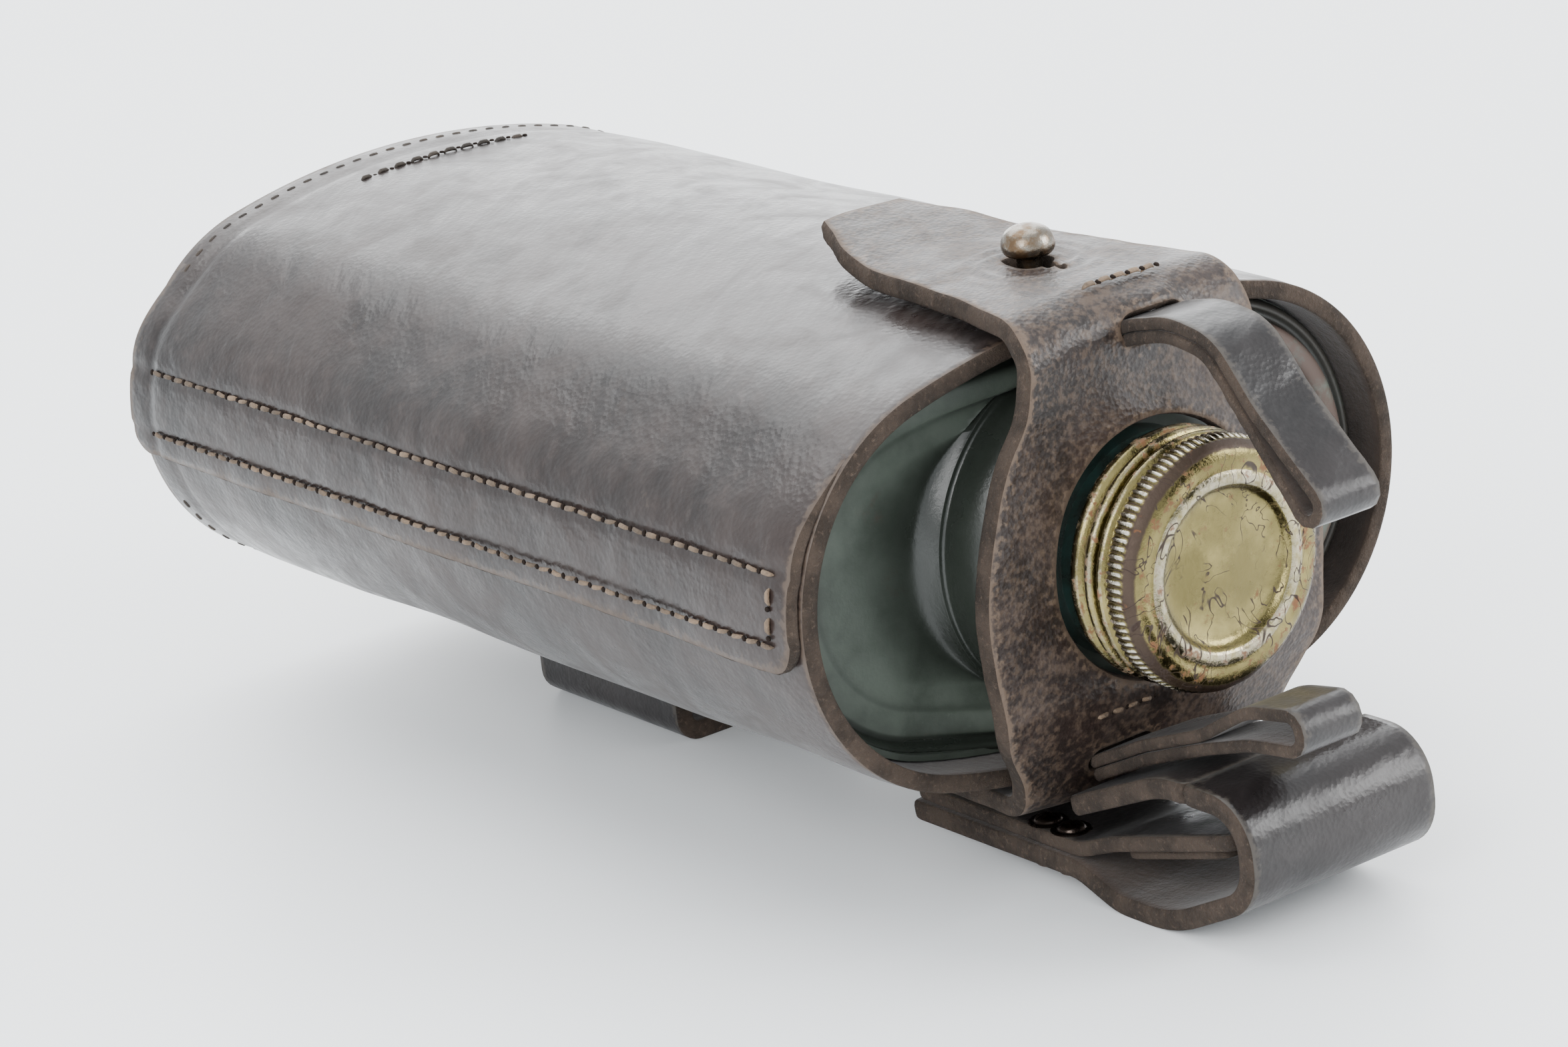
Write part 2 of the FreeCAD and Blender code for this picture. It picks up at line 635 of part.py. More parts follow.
def make_stud():
    """The button stud and the plate that clenches it inside the case wall."""
    wall = value("Sizes.case_depth / 2")
    post = value("Sizes.stud_post")
    head = value("Sizes.stud_head")
    inside = wall - value("Sizes.case_wall") + 0.1
    neck = wall + 6.0
    centre = FreeCAD.Vector(0, value("Sizes.stud_y"), 0)
    shank = Part.makeCylinder(post, neck + 1 - inside, centre + FreeCAD.Vector(0, 0, inside))
    flange = Part.makeCone(4.6, post, 1.4, centre + FreeCAD.Vector(0, 0, wall + 0.05))
    block = Part.makeCylinder(head, 5.2, centre + FreeCAD.Vector(0, 0, neck))
    dome = block.common(Part.makeSphere(4.1, centre + FreeCAD.Vector(0, 0, neck + 1.0)))
    stud = doc.addObject("Part::Feature", "button_stud")
    stud.Shape = shank.fuse([flange, dome]).removeSplitter()
    keep("button_stud", stud)

    disc = rod("plate_disc", (0, "Sizes.stud_y", inside), FreeCAD.Vector(0, 0, 1), "6.5", "1.2")
    bore = rod("plate_bore", (0, "Sizes.stud_y", 20), FreeCAD.Vector(0, 0, 1),
               "Sizes.stud_post + 0.05", "60")
    keep("stud_plate", cut("plate_drilled", disc, bore))


# ---------------------------------------------------------------- small loops


def make_loops():
    """Two narrow straps, each folded double with an eye at its end, that stand out forward."""
    front = strap("front_loop", [
        (-12.4, 34.6), (-20.5, 36.5), (-29.4, 35.1), (-36.4, 26.5), (-47.9, 12.5),
        (-50.2, 14.8), (-36.7, 26.8), (-29.6, 35.3), (-20.5, 36.7), (-12.4, 34.8),
    ], [16.0, 9.0, 30.0, 1.4, 1.4, 30.0, 9.2, 16.2], "-Sizes.loop_leather", "Sizes.loop_width")
    end = "-Sizes.front_reach + Sizes.loop_leather"
    rear = strap("rear_loop", [
        (-10.2, -31.2), (-20, -26.8), (-34, -21.8), (-44, -18.9), (end, -17.6),
        (end, -14.0), (-44, -15.6), (-34, -21.6), (-20, -26.6), (-10.2, -31.0),
    ], [40.0, 30.0, 30.0, 1.6, 1.6, 14.0, 14.0, 40.0], "-Sizes.loop_leather", "Sizes.loop_width")
    for name, strip, middle in (("front_loop", front, "Sizes.front_loop_x"),
                                ("rear_loop", rear, "Sizes.rear_loop_x")):
        keep(name, strip)
        strip.setExpression("Placement.Base.x", f"Sizes.seam_step / 2 + {middle}")


# ---------------------------------------------------------------- belt strap


def make_belt_strap():
    """The wide strap that closes round a belt, and the shorter strap riveted inside it."""
    floor = "-Sizes.axis_height"
    rear = "Sizes.belt_hinge + Sizes.hinge_gap / 2"
    front = "Sizes.belt_hinge - Sizes.hinge_gap / 2"
    width = "Sizes.belt_width"
    lining = "Sizes.belt_width - 1"
    straps = {
        "belt_strap_root": strap("belt_strap_root", [
            ("Sizes.stack_end", "Sizes.belt_level"),
            (20, "Sizes.belt_level - 0.01"),
            (rear, "Sizes.belt_level"),
        ], [60.0], "Sizes.strap_leather", width),
        "belt_strap": strap("belt_strap", [
            (front, "Sizes.belt_level"),
            (-7, "Sizes.belt_level"),
            (-16, floor),
            (-29, floor),
            ("-Sizes.fold_reach - 0.6", -43.0),
            ("-Sizes.fold_reach + 0.2", "Sizes.flap_height"),
            ("Sizes.flap_hinge - Sizes.hinge_gap / 2", "Sizes.flap_height"),
        ], [8.0, 14.0, 26.0, 9.0, "Sizes.fold_radius"], "Sizes.strap_leather", width),
        "belt_flap": strap("belt_flap", [
            ("Sizes.flap_hinge + Sizes.hinge_gap / 2", "Sizes.flap_height"),
            (-28, "Sizes.flap_height"),
            (-6.6, -35.7),
        ], [20.0], "Sizes.strap_leather", width),
        "inner_strap_root": strap("inner_strap_root", [
            ("Sizes.stack_end - 0.4", "Sizes.lining_level"),
            (20, "Sizes.lining_level - 0.01"),
            (rear, "Sizes.lining_level"),
        ], [60.0], "Sizes.lining_leather", lining),
        "inner_strap": strap("inner_strap", [
            (front, "Sizes.lining_level"),
            (-7, "Sizes.lining_level"),
            (-15.5, -42.5),
            (-43.4, -35.2),
        ], [8.0, 30.0], "Sizes.lining_leather", lining),
    }
    hole = rod("flap_hole", (0, -22.0, -60), FreeCAD.Vector(0, 0, 1), "3.6", "60")
    straps["belt_flap"] = cut("flap_pierced", straps["belt_flap"], hole)
    for name in ("belt_strap", "inner_strap"):
        straps[name] = pierced(name, straps[name], BELT_RIVETS, "Sizes.rivet_shank + 0.05")
    for name in ("belt_strap_root", "inner_strap_root"):
        straps[name] = pierced(name, straps[name], ROOT_RIVETS, "Sizes.root_shank + 0.05")
    for name, piece in straps.items():
        keep(name, piece)


def make_strap_fillers():
    """A patch under the inner strap's free end, and the packing between its root and the yoke."""
    keep("strap_patch", strap("strap_patch", [
        (-16.5, -42.35), (-26, -39.85), (-40, -36.2),
    ], [90.0], "-1.6", "Sizes.belt_width - 4"))
    lower = "(Sizes.lining_level + Sizes.lining_leather + 0.05)"
    upper = "(-Sizes.case_depth / 2 - 0.3 - Sizes.strap_leather)"
    block = doc.addObject("Part::Box", "packing_block")
    block.setExpression("Length", "Sizes.belt_width - 6")
    block.setExpression("Width", "14")
    block.setExpression("Height", f"{upper} - {lower}")
    block.setExpression("Placement.Base.x", "-Sizes.belt_width / 2 + 3")
    block.setExpression("Placement.Base.y", "9.5")
    block.setExpression("Placement.Base.z", lower)
    keep("strap_packing", pierced("packing", block, ROOT_RIVETS, "Sizes.root_shank + 0.05"))


def headed_pin(shank, low, high, head, crown):
    """A rivet standing upright: a shank between two heights under a low domed head."""
    dome = Part.makeSphere(crown, FreeCAD.Vector(0, 0, high + head - crown))
    cap = Part.makeCylinder(shank * 2, head, FreeCAD.Vector(0, 0, high)).common(dome)
    pin = Part.makeCylinder(shank, high - low, FreeCAD.Vector(0, 0, low))
    return pin.fuse(cap).removeSplitter()


def copies(name, solid, spots):
    group = doc.addObject("Part::Feature", f"{name}_group")
    group.Shape = Part.makeCompound([solid.translated(FreeCAD.Vector(x, y, 0)) for x, y in spots])
    keep(name, group)


def make_rivets():
    """Rivets of the two belt straps with the burrs under them, and the two root rivets."""
    shank = value("Sizes.rivet_shank")
    under = value("Sizes.belt_level")
    over = value("Sizes.lining_level + Sizes.lining_leather")
    copies("belt_rivets", headed_pin(shank, under - 0.9, over + 0.02, 1.0, 3.2), BELT_RIVETS)
    burr = Part.makeCylinder(value("Sizes.rivet_head"), 0.8, FreeCAD.Vector(0, 0, under - 0.85))
    burr = burr.cut(Part.makeCylinder(shank + 0.05, 3, FreeCAD.Vector(0, 0, under - 2)))
    copies("rivet_burrs", burr, BELT_RIVETS)
    shank = value("Sizes.root_shank")
    sunk = value("-Sizes.case_depth / 2 + Sizes.case_wall - 1.25")
    pin = headed_pin(shank, under - 0.4, sunk, 1.0, 40.0)
    foot = Part.makeCylinder(3.0, 0.8, FreeCAD.Vector(0, 0, under - 0.83))
    copies("root_rivets", pin.fuse(foot).removeSplitter(), ROOT_RIVETS)


def make_keeper():
    """A band across the back, stitched down at both feet, that another strap runs through."""
    floor = "-Sizes.axis_height + Sizes.strap_leather"
    band = strap("keeper", [
        (-34, -33.0),
        ("-Sizes.keeper_half", -36.4),
        ("-Sizes.keeper_half", floor),
        ("Sizes.keeper_half", floor),
        ("Sizes.keeper_half", -36.4),
        (34, -33.0),
    ], [4.5, 1.4, 1.4, 4.5], "-Sizes.strap_leather", "Sizes.keeper_width", view=FRONT_VIEW)
    keep("keeper", band)
    band.setExpression(
        "Placement.Base.y",
        "(Sizes.front_reach - Sizes.case_length) / 2 + Sizes.keeper_start"
        " + Sizes.keeper_width / 2",
    )


# ---------------------------------------------------------------- sewing

# The short rows that hold the small loops: one stitch to the next, and where each row lies.
ROOT_PITCH = 2.9
FRONT_ROW_Y = -2.4
REAR_ROW_Z = -21.8
KEEPER_ROW_X = 29.5


def stitch(place, along):
    """One short straight stitch of thread."""
    length = value("Sizes.stitch_length")
    radius = value("Sizes.thread_radius")
    direction = FreeCAD.Vector(*along).normalize()
    start = FreeCAD.Vector(*place) - direction * (length / 2)
    return Part.makeCylinder(radius, length, start, direction)


def sewn(name, stitches):
    group = doc.addObject("Part::Feature", f"{name}_group")
    group.Shape = Part.makeCompound(stitches)
    keep(name, group)


def oval_point(fraction, offset):
    """A point and its direction on the case's section, a fraction of the way round."""
    side = value(SIDE_CENTRE)
    crown = value(CROWN)
    drop = crown - value("Sizes.case_depth / 2")
    small = value("Sizes.end_radius")
    turn = math.atan2(drop, side)
    arcs = [
        (side, 0.0, small, -turn, turn),
        (0.0, -drop, crown, turn, math.pi - turn),
        (-side, 0.0, small, math.pi - turn, math.pi + turn),
        (0.0, drop, crown, math.pi + turn, 2 * math.pi - turn),
    ]
    lengths = [radius * (stop - start) for x, z, radius, start, stop in arcs]
    distance = fraction * sum(lengths)
    for (x, z, radius, start, stop), length in zip(arcs, lengths):
        if distance <= length:
            break
        distance -= length
    angle = start + distance / radius
    reach = radius + offset
    point = (x + reach * math.cos(angle), z + reach * math.sin(angle))
    return point, (-math.sin(angle), math.cos(angle)), sum(lengths)


def make_threads():
    pitch = value("Sizes.stitch_pitch")
    clear = value("Sizes.thread_radius") + 0.03
    side = value(SIDE_CENTRE)
    proud = value("Sizes.end_radius + Sizes.seam_step") + clear
    start = value("Sizes.seam_start") + 3.2
    count = int((value("Sizes.case_length") - start - 6) / pitch)
    rows = []
    for height in (9.5, -0.8):
        x = -side - math.sqrt(proud ** 2 - height ** 2)
        rows += [stitch((x, start + step * pitch, height), (0, 1, 0)) for step in range(count)]
    for height in (2.0, 6.4):
        x = -side - math.sqrt(proud ** 2 - height ** 2)
        rows.append(stitch((x, start - 1.4, height), (height / proud, 0, 1)))
    sewn("side_seam_thread", rows)

    perimeter = oval_point(0, clear)[2]
    count = int(perimeter / pitch)
    seam_y = value("Sizes.case_length") - 3.0
    ring = []
    for step in range(count):
        (x, z), (dx, dz), _ = oval_point(step / count, clear)
        seam_side = x < -value("Sizes.case_width") / 2 + 4 and abs(z) < 16
        if not seam_side:
            ring.append(stitch((x, seam_y, z), (dx, 0, dz)))
    sewn("base_seam_thread", ring)

    front = value("Sizes.case_depth / 2")
    crown = value(CROWN)
    tab = []
    for step in range(10):
        x = -16 + step * pitch
        z = front - crown + math.sqrt(crown ** 2 - x ** 2) + clear + 0.02
        tab.append(stitch((x, value("Sizes.case_length") - 14, z), (1, 0, -x / crown)))
    sewn("base_tab_thread", tab)

    yoke_face = -value("Sizes.yoke_stand + Sizes.strap_leather") - clear
    loop_top = value("Sizes.tongue_height + Sizes.strap_leather") + clear
    middle = value("Sizes.front_loop_x")
    sewn("front_loop_thread", [
        stitch((middle - 1.5 + (step - 2) * ROOT_PITCH, FRONT_ROW_Y, loop_top), (1, 0, 0))
        for step in range(5)
    ])
    middle = value("Sizes.rear_loop_x")
    sewn("rear_loop_thread", [
        stitch((middle + (step - 1.5) * ROOT_PITCH, yoke_face, REAR_ROW_Z), (1, 0, 0))
        for step in range(4)
    ])

    feet = []
    for along in range(10):
        y = value("Sizes.keeper_start") + 4 + along * pitch
        for end in (-1, 1):
            x = end * KEEPER_ROW_X
            z = -33.0 - (34 - abs(x)) * 3.4 / 18.9 - value("Sizes.strap_leather") * 1.018 - clear
            feet.append(stitch((x, y, z), (0, 1, 0)))
    sewn("keeper_thread", feet)


make_case_body()
make_case_base()
make_bottle()
make_shoulder()
make_neck()
make_cap()
make_seal()
make_yoke()
make_tongue()
make_stud()
make_loops()
make_belt_strap()
make_strap_fillers()
make_rivets()
make_keeper()
make_threads()

doc.recompute()
for item in doc.Objects:
    bad = [state for state in item.State if state in ("Invalid", "Error")]
    if bad:
        raise RuntimeError(f"{item.Name} ({item.Label}) failed: {bad}")
for name, piece in NODES.items():
    if piece.Shape.isNull() or not piece.Shape.isValid():
        raise RuntimeError(f"{name} has no valid shape")
for name, piece in NODES.items():
    box = piece.Shape.BoundBox
    print(f"{name:18s} solids {len(piece.Shape.Solids):3d} volume {piece.Shape.Volume:10.1f}"
          f" x {box.XMin:.1f} {box.XMax:.1f} y {box.YMin:.1f} {box.YMax:.1f}"
          f" z {box.ZMin:.1f} {box.ZMax:.1f}")
    piece.Shape.exportStep(f"parts/{name}.step")
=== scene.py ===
"""Looks for a field flask in a sewn leather belt case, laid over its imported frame."""

import math
import random
from types import SimpleNamespace

import bpy
from bpy.props import FloatProperty, FloatVectorProperty, IntProperty, PointerProperty
from mathutils import Euler, Matrix, Vector, noise


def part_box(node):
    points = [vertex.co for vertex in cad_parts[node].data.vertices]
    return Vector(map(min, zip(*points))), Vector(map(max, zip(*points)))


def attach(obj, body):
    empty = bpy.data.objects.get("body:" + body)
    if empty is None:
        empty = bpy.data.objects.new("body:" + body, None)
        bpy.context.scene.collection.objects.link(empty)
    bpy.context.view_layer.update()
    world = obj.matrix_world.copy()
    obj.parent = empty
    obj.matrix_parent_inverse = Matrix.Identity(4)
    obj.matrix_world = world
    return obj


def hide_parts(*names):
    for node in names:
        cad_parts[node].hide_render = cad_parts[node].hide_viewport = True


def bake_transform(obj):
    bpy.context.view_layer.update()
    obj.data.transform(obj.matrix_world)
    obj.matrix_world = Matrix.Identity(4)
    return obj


bl_info = {
    "name": "Leather-cased field flask",
    "version": (1, 0, 0),
    "blender": (4, 5, 0),
    "location": "View3D > Sidebar > Flask",
    "description": "Builds the leather, sewing, paint and metal of a cased field flask",
    "category": "Object",
}

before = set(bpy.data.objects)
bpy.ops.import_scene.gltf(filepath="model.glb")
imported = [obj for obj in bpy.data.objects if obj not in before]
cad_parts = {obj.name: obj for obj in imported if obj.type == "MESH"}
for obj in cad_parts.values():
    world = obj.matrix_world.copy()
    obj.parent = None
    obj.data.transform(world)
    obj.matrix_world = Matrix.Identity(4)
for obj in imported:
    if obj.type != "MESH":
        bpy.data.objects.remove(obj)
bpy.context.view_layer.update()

MM = 0.001
BOTTLE_LOW, BOTTLE_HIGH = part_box("bottle_body")
CASE_LOW, CASE_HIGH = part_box("case_body")
MIDDLE = Vector((
    (BOTTLE_LOW.x + BOTTLE_HIGH.x) / 2,
    CASE_LOW.y,
    (BOTTLE_LOW.z + BOTTLE_HIGH.z) / 2,
))
CASE_LENGTH = (CASE_HIGH.y - CASE_LOW.y) / MM
FLOOR = -MIDDLE.z / MM
CAP_LOW, CAP_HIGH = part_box("cap_shell")

# In millimetres: the seam's rows round the case from the middle of its left side, each small
# loop's middle along X, and the height of the inner strap's upper face.
SEAM_ROWS = (9.6, -0.8)
SEAM_END_ROWS = (2.2, 6.4)
LOOP_MIDDLES = {"front_loop": 2.7, "rear_loop": -8.0}
LINING_TOP = -43.1


def at(x, y, z):
    """A place in the case's own frame, in millimetres: Y runs from the mouth to the base."""
    return MIDDLE + Vector((x, y, z)) * MM


# ---------------------------------------------------------------- what a user may change


class FlaskCaseSettings(bpy.types.PropertyGroup):
    """Sizes of the leather case."""

    width: FloatProperty(name="Width", description="Across the case", unit="LENGTH",
                         default=120 * MM, min=60 * MM)
    depth: FloatProperty(name="Depth", description="Front to back", unit="LENGTH",
                         default=73.3 * MM, min=30 * MM)
    side_radius: FloatProperty(name="Side radius", description="Radius of the round sides",
                               unit="LENGTH", default=33 * MM, min=5 * MM)
    leather: FloatProperty(name="Leather", description="Thickness of the wall", unit="LENGTH",
                           default=3.4 * MM)
    seam_step: FloatProperty(name="Seam step", description="How far the seam's flap stands out",
                             unit="LENGTH", default=2.3 * MM)
    dents: FloatProperty(name="Dents", description="Depth of the soft dents in the wall",
                         unit="LENGTH", default=0.9 * MM)


class FlaskStrapSettings(bpy.types.PropertyGroup):
    """Sizes of the yoke, the loops and the belt straps."""

    leather: FloatProperty(name="Leather", description="Thickness of the straps", unit="LENGTH",
                           default=3.2 * MM)
    lining: FloatProperty(name="Lining", description="Thickness of the inner strap",
                          unit="LENGTH", default=2.4 * MM)
    loop_leather: FloatProperty(name="Loop leather", description="Thickness of a small loop",
                                unit="LENGTH", default=1.9 * MM)
    belt_width: FloatProperty(name="Belt strap", description="Width of the belt strap",
                              unit="LENGTH", default=36.6 * MM)
    loop_width: FloatProperty(name="Loop width", description="Width of a small loop",
                              unit="LENGTH", default=11.4 * MM)
    yoke_hole: FloatProperty(name="Yoke hole", description="Radius of the hole for the neck",
                             unit="LENGTH", default=20.6 * MM)
    stud_y: FloatProperty(name="Stud", description="From the mouth's rim back to the stud",
                          unit="LENGTH", default=13.6 * MM)


class FlaskSewingSettings(bpy.types.PropertyGroup):
    """The thread and its stitches."""

    pitch: FloatProperty(name="Pitch", description="One stitch to the next", unit="LENGTH",
                         default=3.6 * MM, min=1 * MM)
    length: FloatProperty(name="Length", description="Length of a stitch", unit="LENGTH",
                          default=2.7 * MM, min=0.5 * MM)
    thread: FloatProperty(name="Thread", description="Radius of the thread", unit="LENGTH",
                          default=0.4 * MM)


class FlaskMetalSettings(bpy.types.PropertyGroup):
    """The bottle's top and its screw cap."""

    cap_radius: FloatProperty(name="Cap radius", description="Radius of the knurled ring",
                              unit="LENGTH", default=19.8 * MM)
    teeth: IntProperty(name="Teeth", description="Ridges round the knurled ring", default=96)
    tooth: FloatProperty(name="Tooth", description="Depth of a ridge", unit="LENGTH",
                         default=0.42 * MM)
    boss_radius: FloatProperty(name="Boss radius", description="Radius of the boss at its foot",
                               unit="LENGTH", default=27 * MM)
    collar_radius: FloatProperty(name="Collar radius", unit="LENGTH", default=18 * MM,
                                 description="Radius of the collar at the neck's root")


class FlaskColourSettings(bpy.types.PropertyGroup):
    """Base colours, as linear red, green and blue."""

    leather: FloatVectorProperty(name="Leather", description="Grain side", subtype="COLOR",
                                 default=(0.0225, 0.0140, 0.0118))
    # Dark leather is a random darker tone, and also the painted shade laid along the wrinkles'
    # furrows.
    leather_dark: FloatVectorProperty(name="Dark leather", description="Waxed hollows",
                                      subtype="COLOR", default=(0.0080, 0.0055, 0.0050))
    bloom: FloatVectorProperty(name="Bloom", description="Pale bloom on the grain",
                               subtype="COLOR", default=(0.044, 0.032, 0.0285))
    cut_edge: FloatVectorProperty(name="Cut edge", description="Bare edges of the leather",
                                  subtype="COLOR", default=(0.070, 0.049, 0.036))
    flesh: FloatVectorProperty(name="Flesh side", description="Back of the leather",
                               subtype="COLOR", default=(0.062, 0.044, 0.035))
    thread: FloatVectorProperty(name="Thread", description="Waxed thread", subtype="COLOR",
                                default=(0.185, 0.125, 0.080))
    paint: FloatVectorProperty(name="Paint", description="Bottle paint", subtype="COLOR",
                               default=(0.046, 0.056, 0.045))
    lacquer: FloatVectorProperty(name="Lacquer", description="Gold lacquer of the cap",
                                 subtype="COLOR", default=(0.24, 0.20, 0.082))


def sizes_of(name):
    """A group of the scene's sizes, with its lengths turned into millimetres."""
    group = getattr(bpy.context.scene, name)
    values = {label: getattr(group, label) for label in SETTINGS[name].__annotations__}
    return SimpleNamespace(**{
        label: value / MM if isinstance(value, float) else value
        for label, value in values.items()
    })


# ---------------------------------------------------------------- shader nodes


class Tint:
    """A shader socket that can be added, multiplied and so on, as a plain number can."""

    def __init__(self, finish, socket):
        self.finish = finish
        self.socket = socket

    def calculate(self, operation, first, second):
        node = self.finish.add("ShaderNodeMath", {"operation": operation}, {0: first, 1: second})
        return Tint(self.finish, node.outputs[0])

    def __add__(self, other):
        return self.calculate("ADD", self, other)

    def __sub__(self, other):
        return self.calculate("SUBTRACT", self, other)

    def __rsub__(self, other):
        return self.calculate("SUBTRACT", other, self)

    def __mul__(self, other):
        return self.calculate("MULTIPLY", self, other)

    def __abs__(self):
        return self.calculate("ABSOLUTE", self, 0.0)

    __radd__ = __add__
    __rmul__ = __mul__


class Finish:
    """One material, and short ways to add the nodes that it needs."""

    def __init__(self, name):
        self.material = bpy.data.materials.new(name)
        self.material.use_nodes = True
        self.tree = self.material.node_tree
        self.tree.nodes.clear()
        self.shader = self.add("ShaderNodeBsdfPrincipled")
        output = self.add("ShaderNodeOutputMaterial")
        self.tree.links.new(self.shader.outputs[0], output.inputs["Surface"])
        self.place = self.add("ShaderNodeTexCoord").outputs["Object"]

    def add(self, kind, settings=None, sockets=None):
        """Adds a node, gives it its settings and then its sockets' values or links."""
        node = self.tree.nodes.new(kind)
        for name, setting in (settings or {}).items():
            setattr(node, name, setting)
        for name, value in (sockets or {}).items():
            self.feed(node.inputs[name], value)
        return node

    def feed(self, socket, value):
        """Links a socket, or sets its own value."""
        if isinstance(value, Tint):
            value = value.socket
        if isinstance(value, bpy.types.NodeSocket):
            self.tree.links.new(value, socket)
        elif socket.type == "RGBA":
            socket.default_value = (*value, 1.0)
        else:
            socket.default_value = value

    def stretched(self, lengths, turn=0.0):
        """Coordinates that draw a pattern out along axes turned about Z, in degrees."""
        rotation = (0.0, 0.0, math.radians(turn))
        sockets = {"Vector": self.place, "Scale": lengths, "Rotation": rotation}
        return self.add("ShaderNodeMapping", {"vector_type": "TEXTURE"}, sockets).outputs[0]

    def noise(self, size, detail=3.0, roughness=0.55, stretch=None, turn=0.0, distortion=0.0):
        """Cloudy noise whose lumps are about this many millimetres across."""
        where = self.stretched(stretch, turn) if stretch else self.place
        sockets = {"Vector": where, "Scale": 1.0 / (size * MM), "Detail": detail,
                   "Roughness": roughness, "Distortion": distortion}
        return Tint(self, self.add("ShaderNodeTexNoise", sockets=sockets).outputs[0])

    def cells(self, size):
        """Round pits about this many millimetres across."""
        sockets = {"Vector": self.place, "Scale": 1.0 / (size * MM)}
        node = self.add("ShaderNodeTexVoronoi", sockets=sockets)
        return Tint(self, node.outputs["Distance"])

    def between(self, value, low, high, start=0.0, end=1.0):
        """Runs smoothly from start to end while the value goes from low to high."""
        sockets = {0: value, 1: low, 2: high, 3: start, 4: end}
        settings = {"interpolation_type": "SMOOTHSTEP", "clamp": True}
        return Tint(self, self.add("ShaderNodeMapRange", settings, sockets).outputs[0])

    def mix(self, factor, first, second):
        """Two colours mixed: all of the first where the factor is 0."""
        settings = {"data_type": "RGBA", "clamp_factor": True}
        return self.add("ShaderNodeMix", settings, {0: factor, 6: first, 7: second}).outputs[2]

    def mark(self, name):
        """A number stored on the mesh's points."""
        node = self.add("ShaderNodeAttribute", {"attribute_name": name})
        return Tint(self, node.outputs["Fac"])

    def bump(self, height, depth, strength=1.0, over=None):
        """Relief this many millimetres deep, laid over another relief if one is given."""
        sockets = {"Height": height, "Distance": depth * MM, "Strength": strength}
        if over is not None:
            sockets["Normal"] = over
        return self.add("ShaderNodeBump", sockets=sockets).outputs[0]

    def set(self, **values):
        """Sets or links the shader's own sockets, such as Base_Color."""
        for name, value in values.items():
            self.feed(self.shader.inputs[name.replace("_", " ")], value)


def scaled(colour, share):
    """A colour made darker or paler."""
    return [part * share for part in colour]


def grain_finish(name, colours, tone=(1.0, 1.0, 1.0), gloss=0.30, bloom=1.0, grain=0.9,
                 pebbled=0.0):
    """The grain side of old waxed leather: dark, with bloom, scuffs, fine wrinkles and painted shade
    in their furrows.
    """
    finish = Finish(name)
    slant = 33.0
    clouds = finish.noise(38.0, 4.0, 0.6)
    drift = finish.noise(11.0, 5.0, 0.62, distortion=0.6)
    pores = finish.cells(grain)
    pebbles = finish.noise(grain * 1.6, 3.0, 0.6)
    creases = finish.noise(2.4, 3.0, 0.6, stretch=(6.0, 1.0, 1.0), turn=slant, distortion=0.3)
    wrinkles = finish.noise(9.0, 3.0, 0.5, stretch=(4.5, 1.0, 1.0), turn=slant, distortion=0.2)
    wear = finish.mark("wear")
    dark, plain, pale, worn = [
        [part * share for part, share in zip(colour, tone)]
        for colour in (colours.leather_dark, colours.leather, colours.bloom, colours.cut_edge)
    ]
    shade = finish.mix(finish.between(clouds + creases * 0.2, 0.40, 0.78), dark, plain)
    dusty = finish.between(drift + pebbles * 0.25, 0.56, 0.92) * bloom
    shade = finish.mix(dusty * 0.6, shade, pale)
    shade = finish.mix(finish.between(creases, 0.56, 0.74) * 0.35 * bloom, shade, pale)
    # Painted shade: darker along the furrows of the wrinkles' bump.
    furrow_shade = finish.between(wrinkles, 0.46, 0.30) * 0.45
    shade = finish.mix(furrow_shade, shade, dark)
    scuffs = finish.between(finish.noise(5.0, 6.0, 0.72), 0.62, 0.71)
    rubbed = finish.between(wear + drift * 0.9 + pebbles * 0.3, 1.12, 1.70)
    flecks = finish.between(wear * 0.5 + pebbles, 0.80, 0.95)
    dusting = finish.between(pebbles + drift * 0.4, 0.62, 0.86) * pebbled
    worn_share = scuffs * 0.22 + rubbed * 0.75 + flecks * 0.5 + dusting
    shade = finish.mix(worn_share, shade, worn)
    fine = finish.bump(pores + pebbles, 0.07 + 0.16 * pebbled, 0.5)
    furrows = finish.bump(wrinkles, 1.8, 0.34, over=fine)
    folds = finish.bump(creases, 0.16, 0.16, over=furrows)
    rough = finish.between(drift, 0.35, 0.75, gloss - 0.06, gloss + 0.14) + rubbed * 0.25
    finish.set(Base_Color=shade, Roughness=rough, Normal=folds)
    finish.set(Specular_IOR_Level=0.38, Sheen_Weight=0.03, Sheen_Roughness=0.4)
    return finish.material


def edge_finish(name, colours):
    """The bare cut edge: brown, fibrous and matt."""
    finish = Finish(name)
    fibres = finish.noise(0.9, 5.0, 0.75)
    patches = finish.noise(7.0, 4.0, 0.6)
    darker, paler = scaled(colours.cut_edge, 0.48), scaled(colours.cut_edge, 1.9)
    shade = finish.mix(finish.between(patches, 0.36, 0.62), darker, colours.cut_edge)
    shade = finish.mix(finish.between(fibres, 0.52, 0.76), shade, paler)
    height = finish.bump(fibres, 1.3, 1.0)
    finish.set(Base_Color=shade, Normal=height, Roughness=0.92, Specular_IOR_Level=0.12)
    finish.set(Sheen_Weight=0.04, Sheen_Roughness=0.6)
    return finish.material


def flesh_finish(name, colours):
    """The back of the leather: matt, with a raised nap."""
    finish = Finish(name)
    nap = finish.noise(1.3, 5.0, 0.7)
    clouds = finish.noise(14.0, 3.0, 0.6)
    darker = scaled(colours.flesh, 0.45)
    shade = finish.mix(finish.between(clouds + nap * 0.3, 0.4, 0.9), darker, colours.flesh)
    finish.set(Base_Color=shade, Normal=finish.bump(nap, 0.4, 0.8), Roughness=0.9)
    finish.set(Specular_IOR_Level=0.2, Sheen_Weight=0.2)
    return finish.material


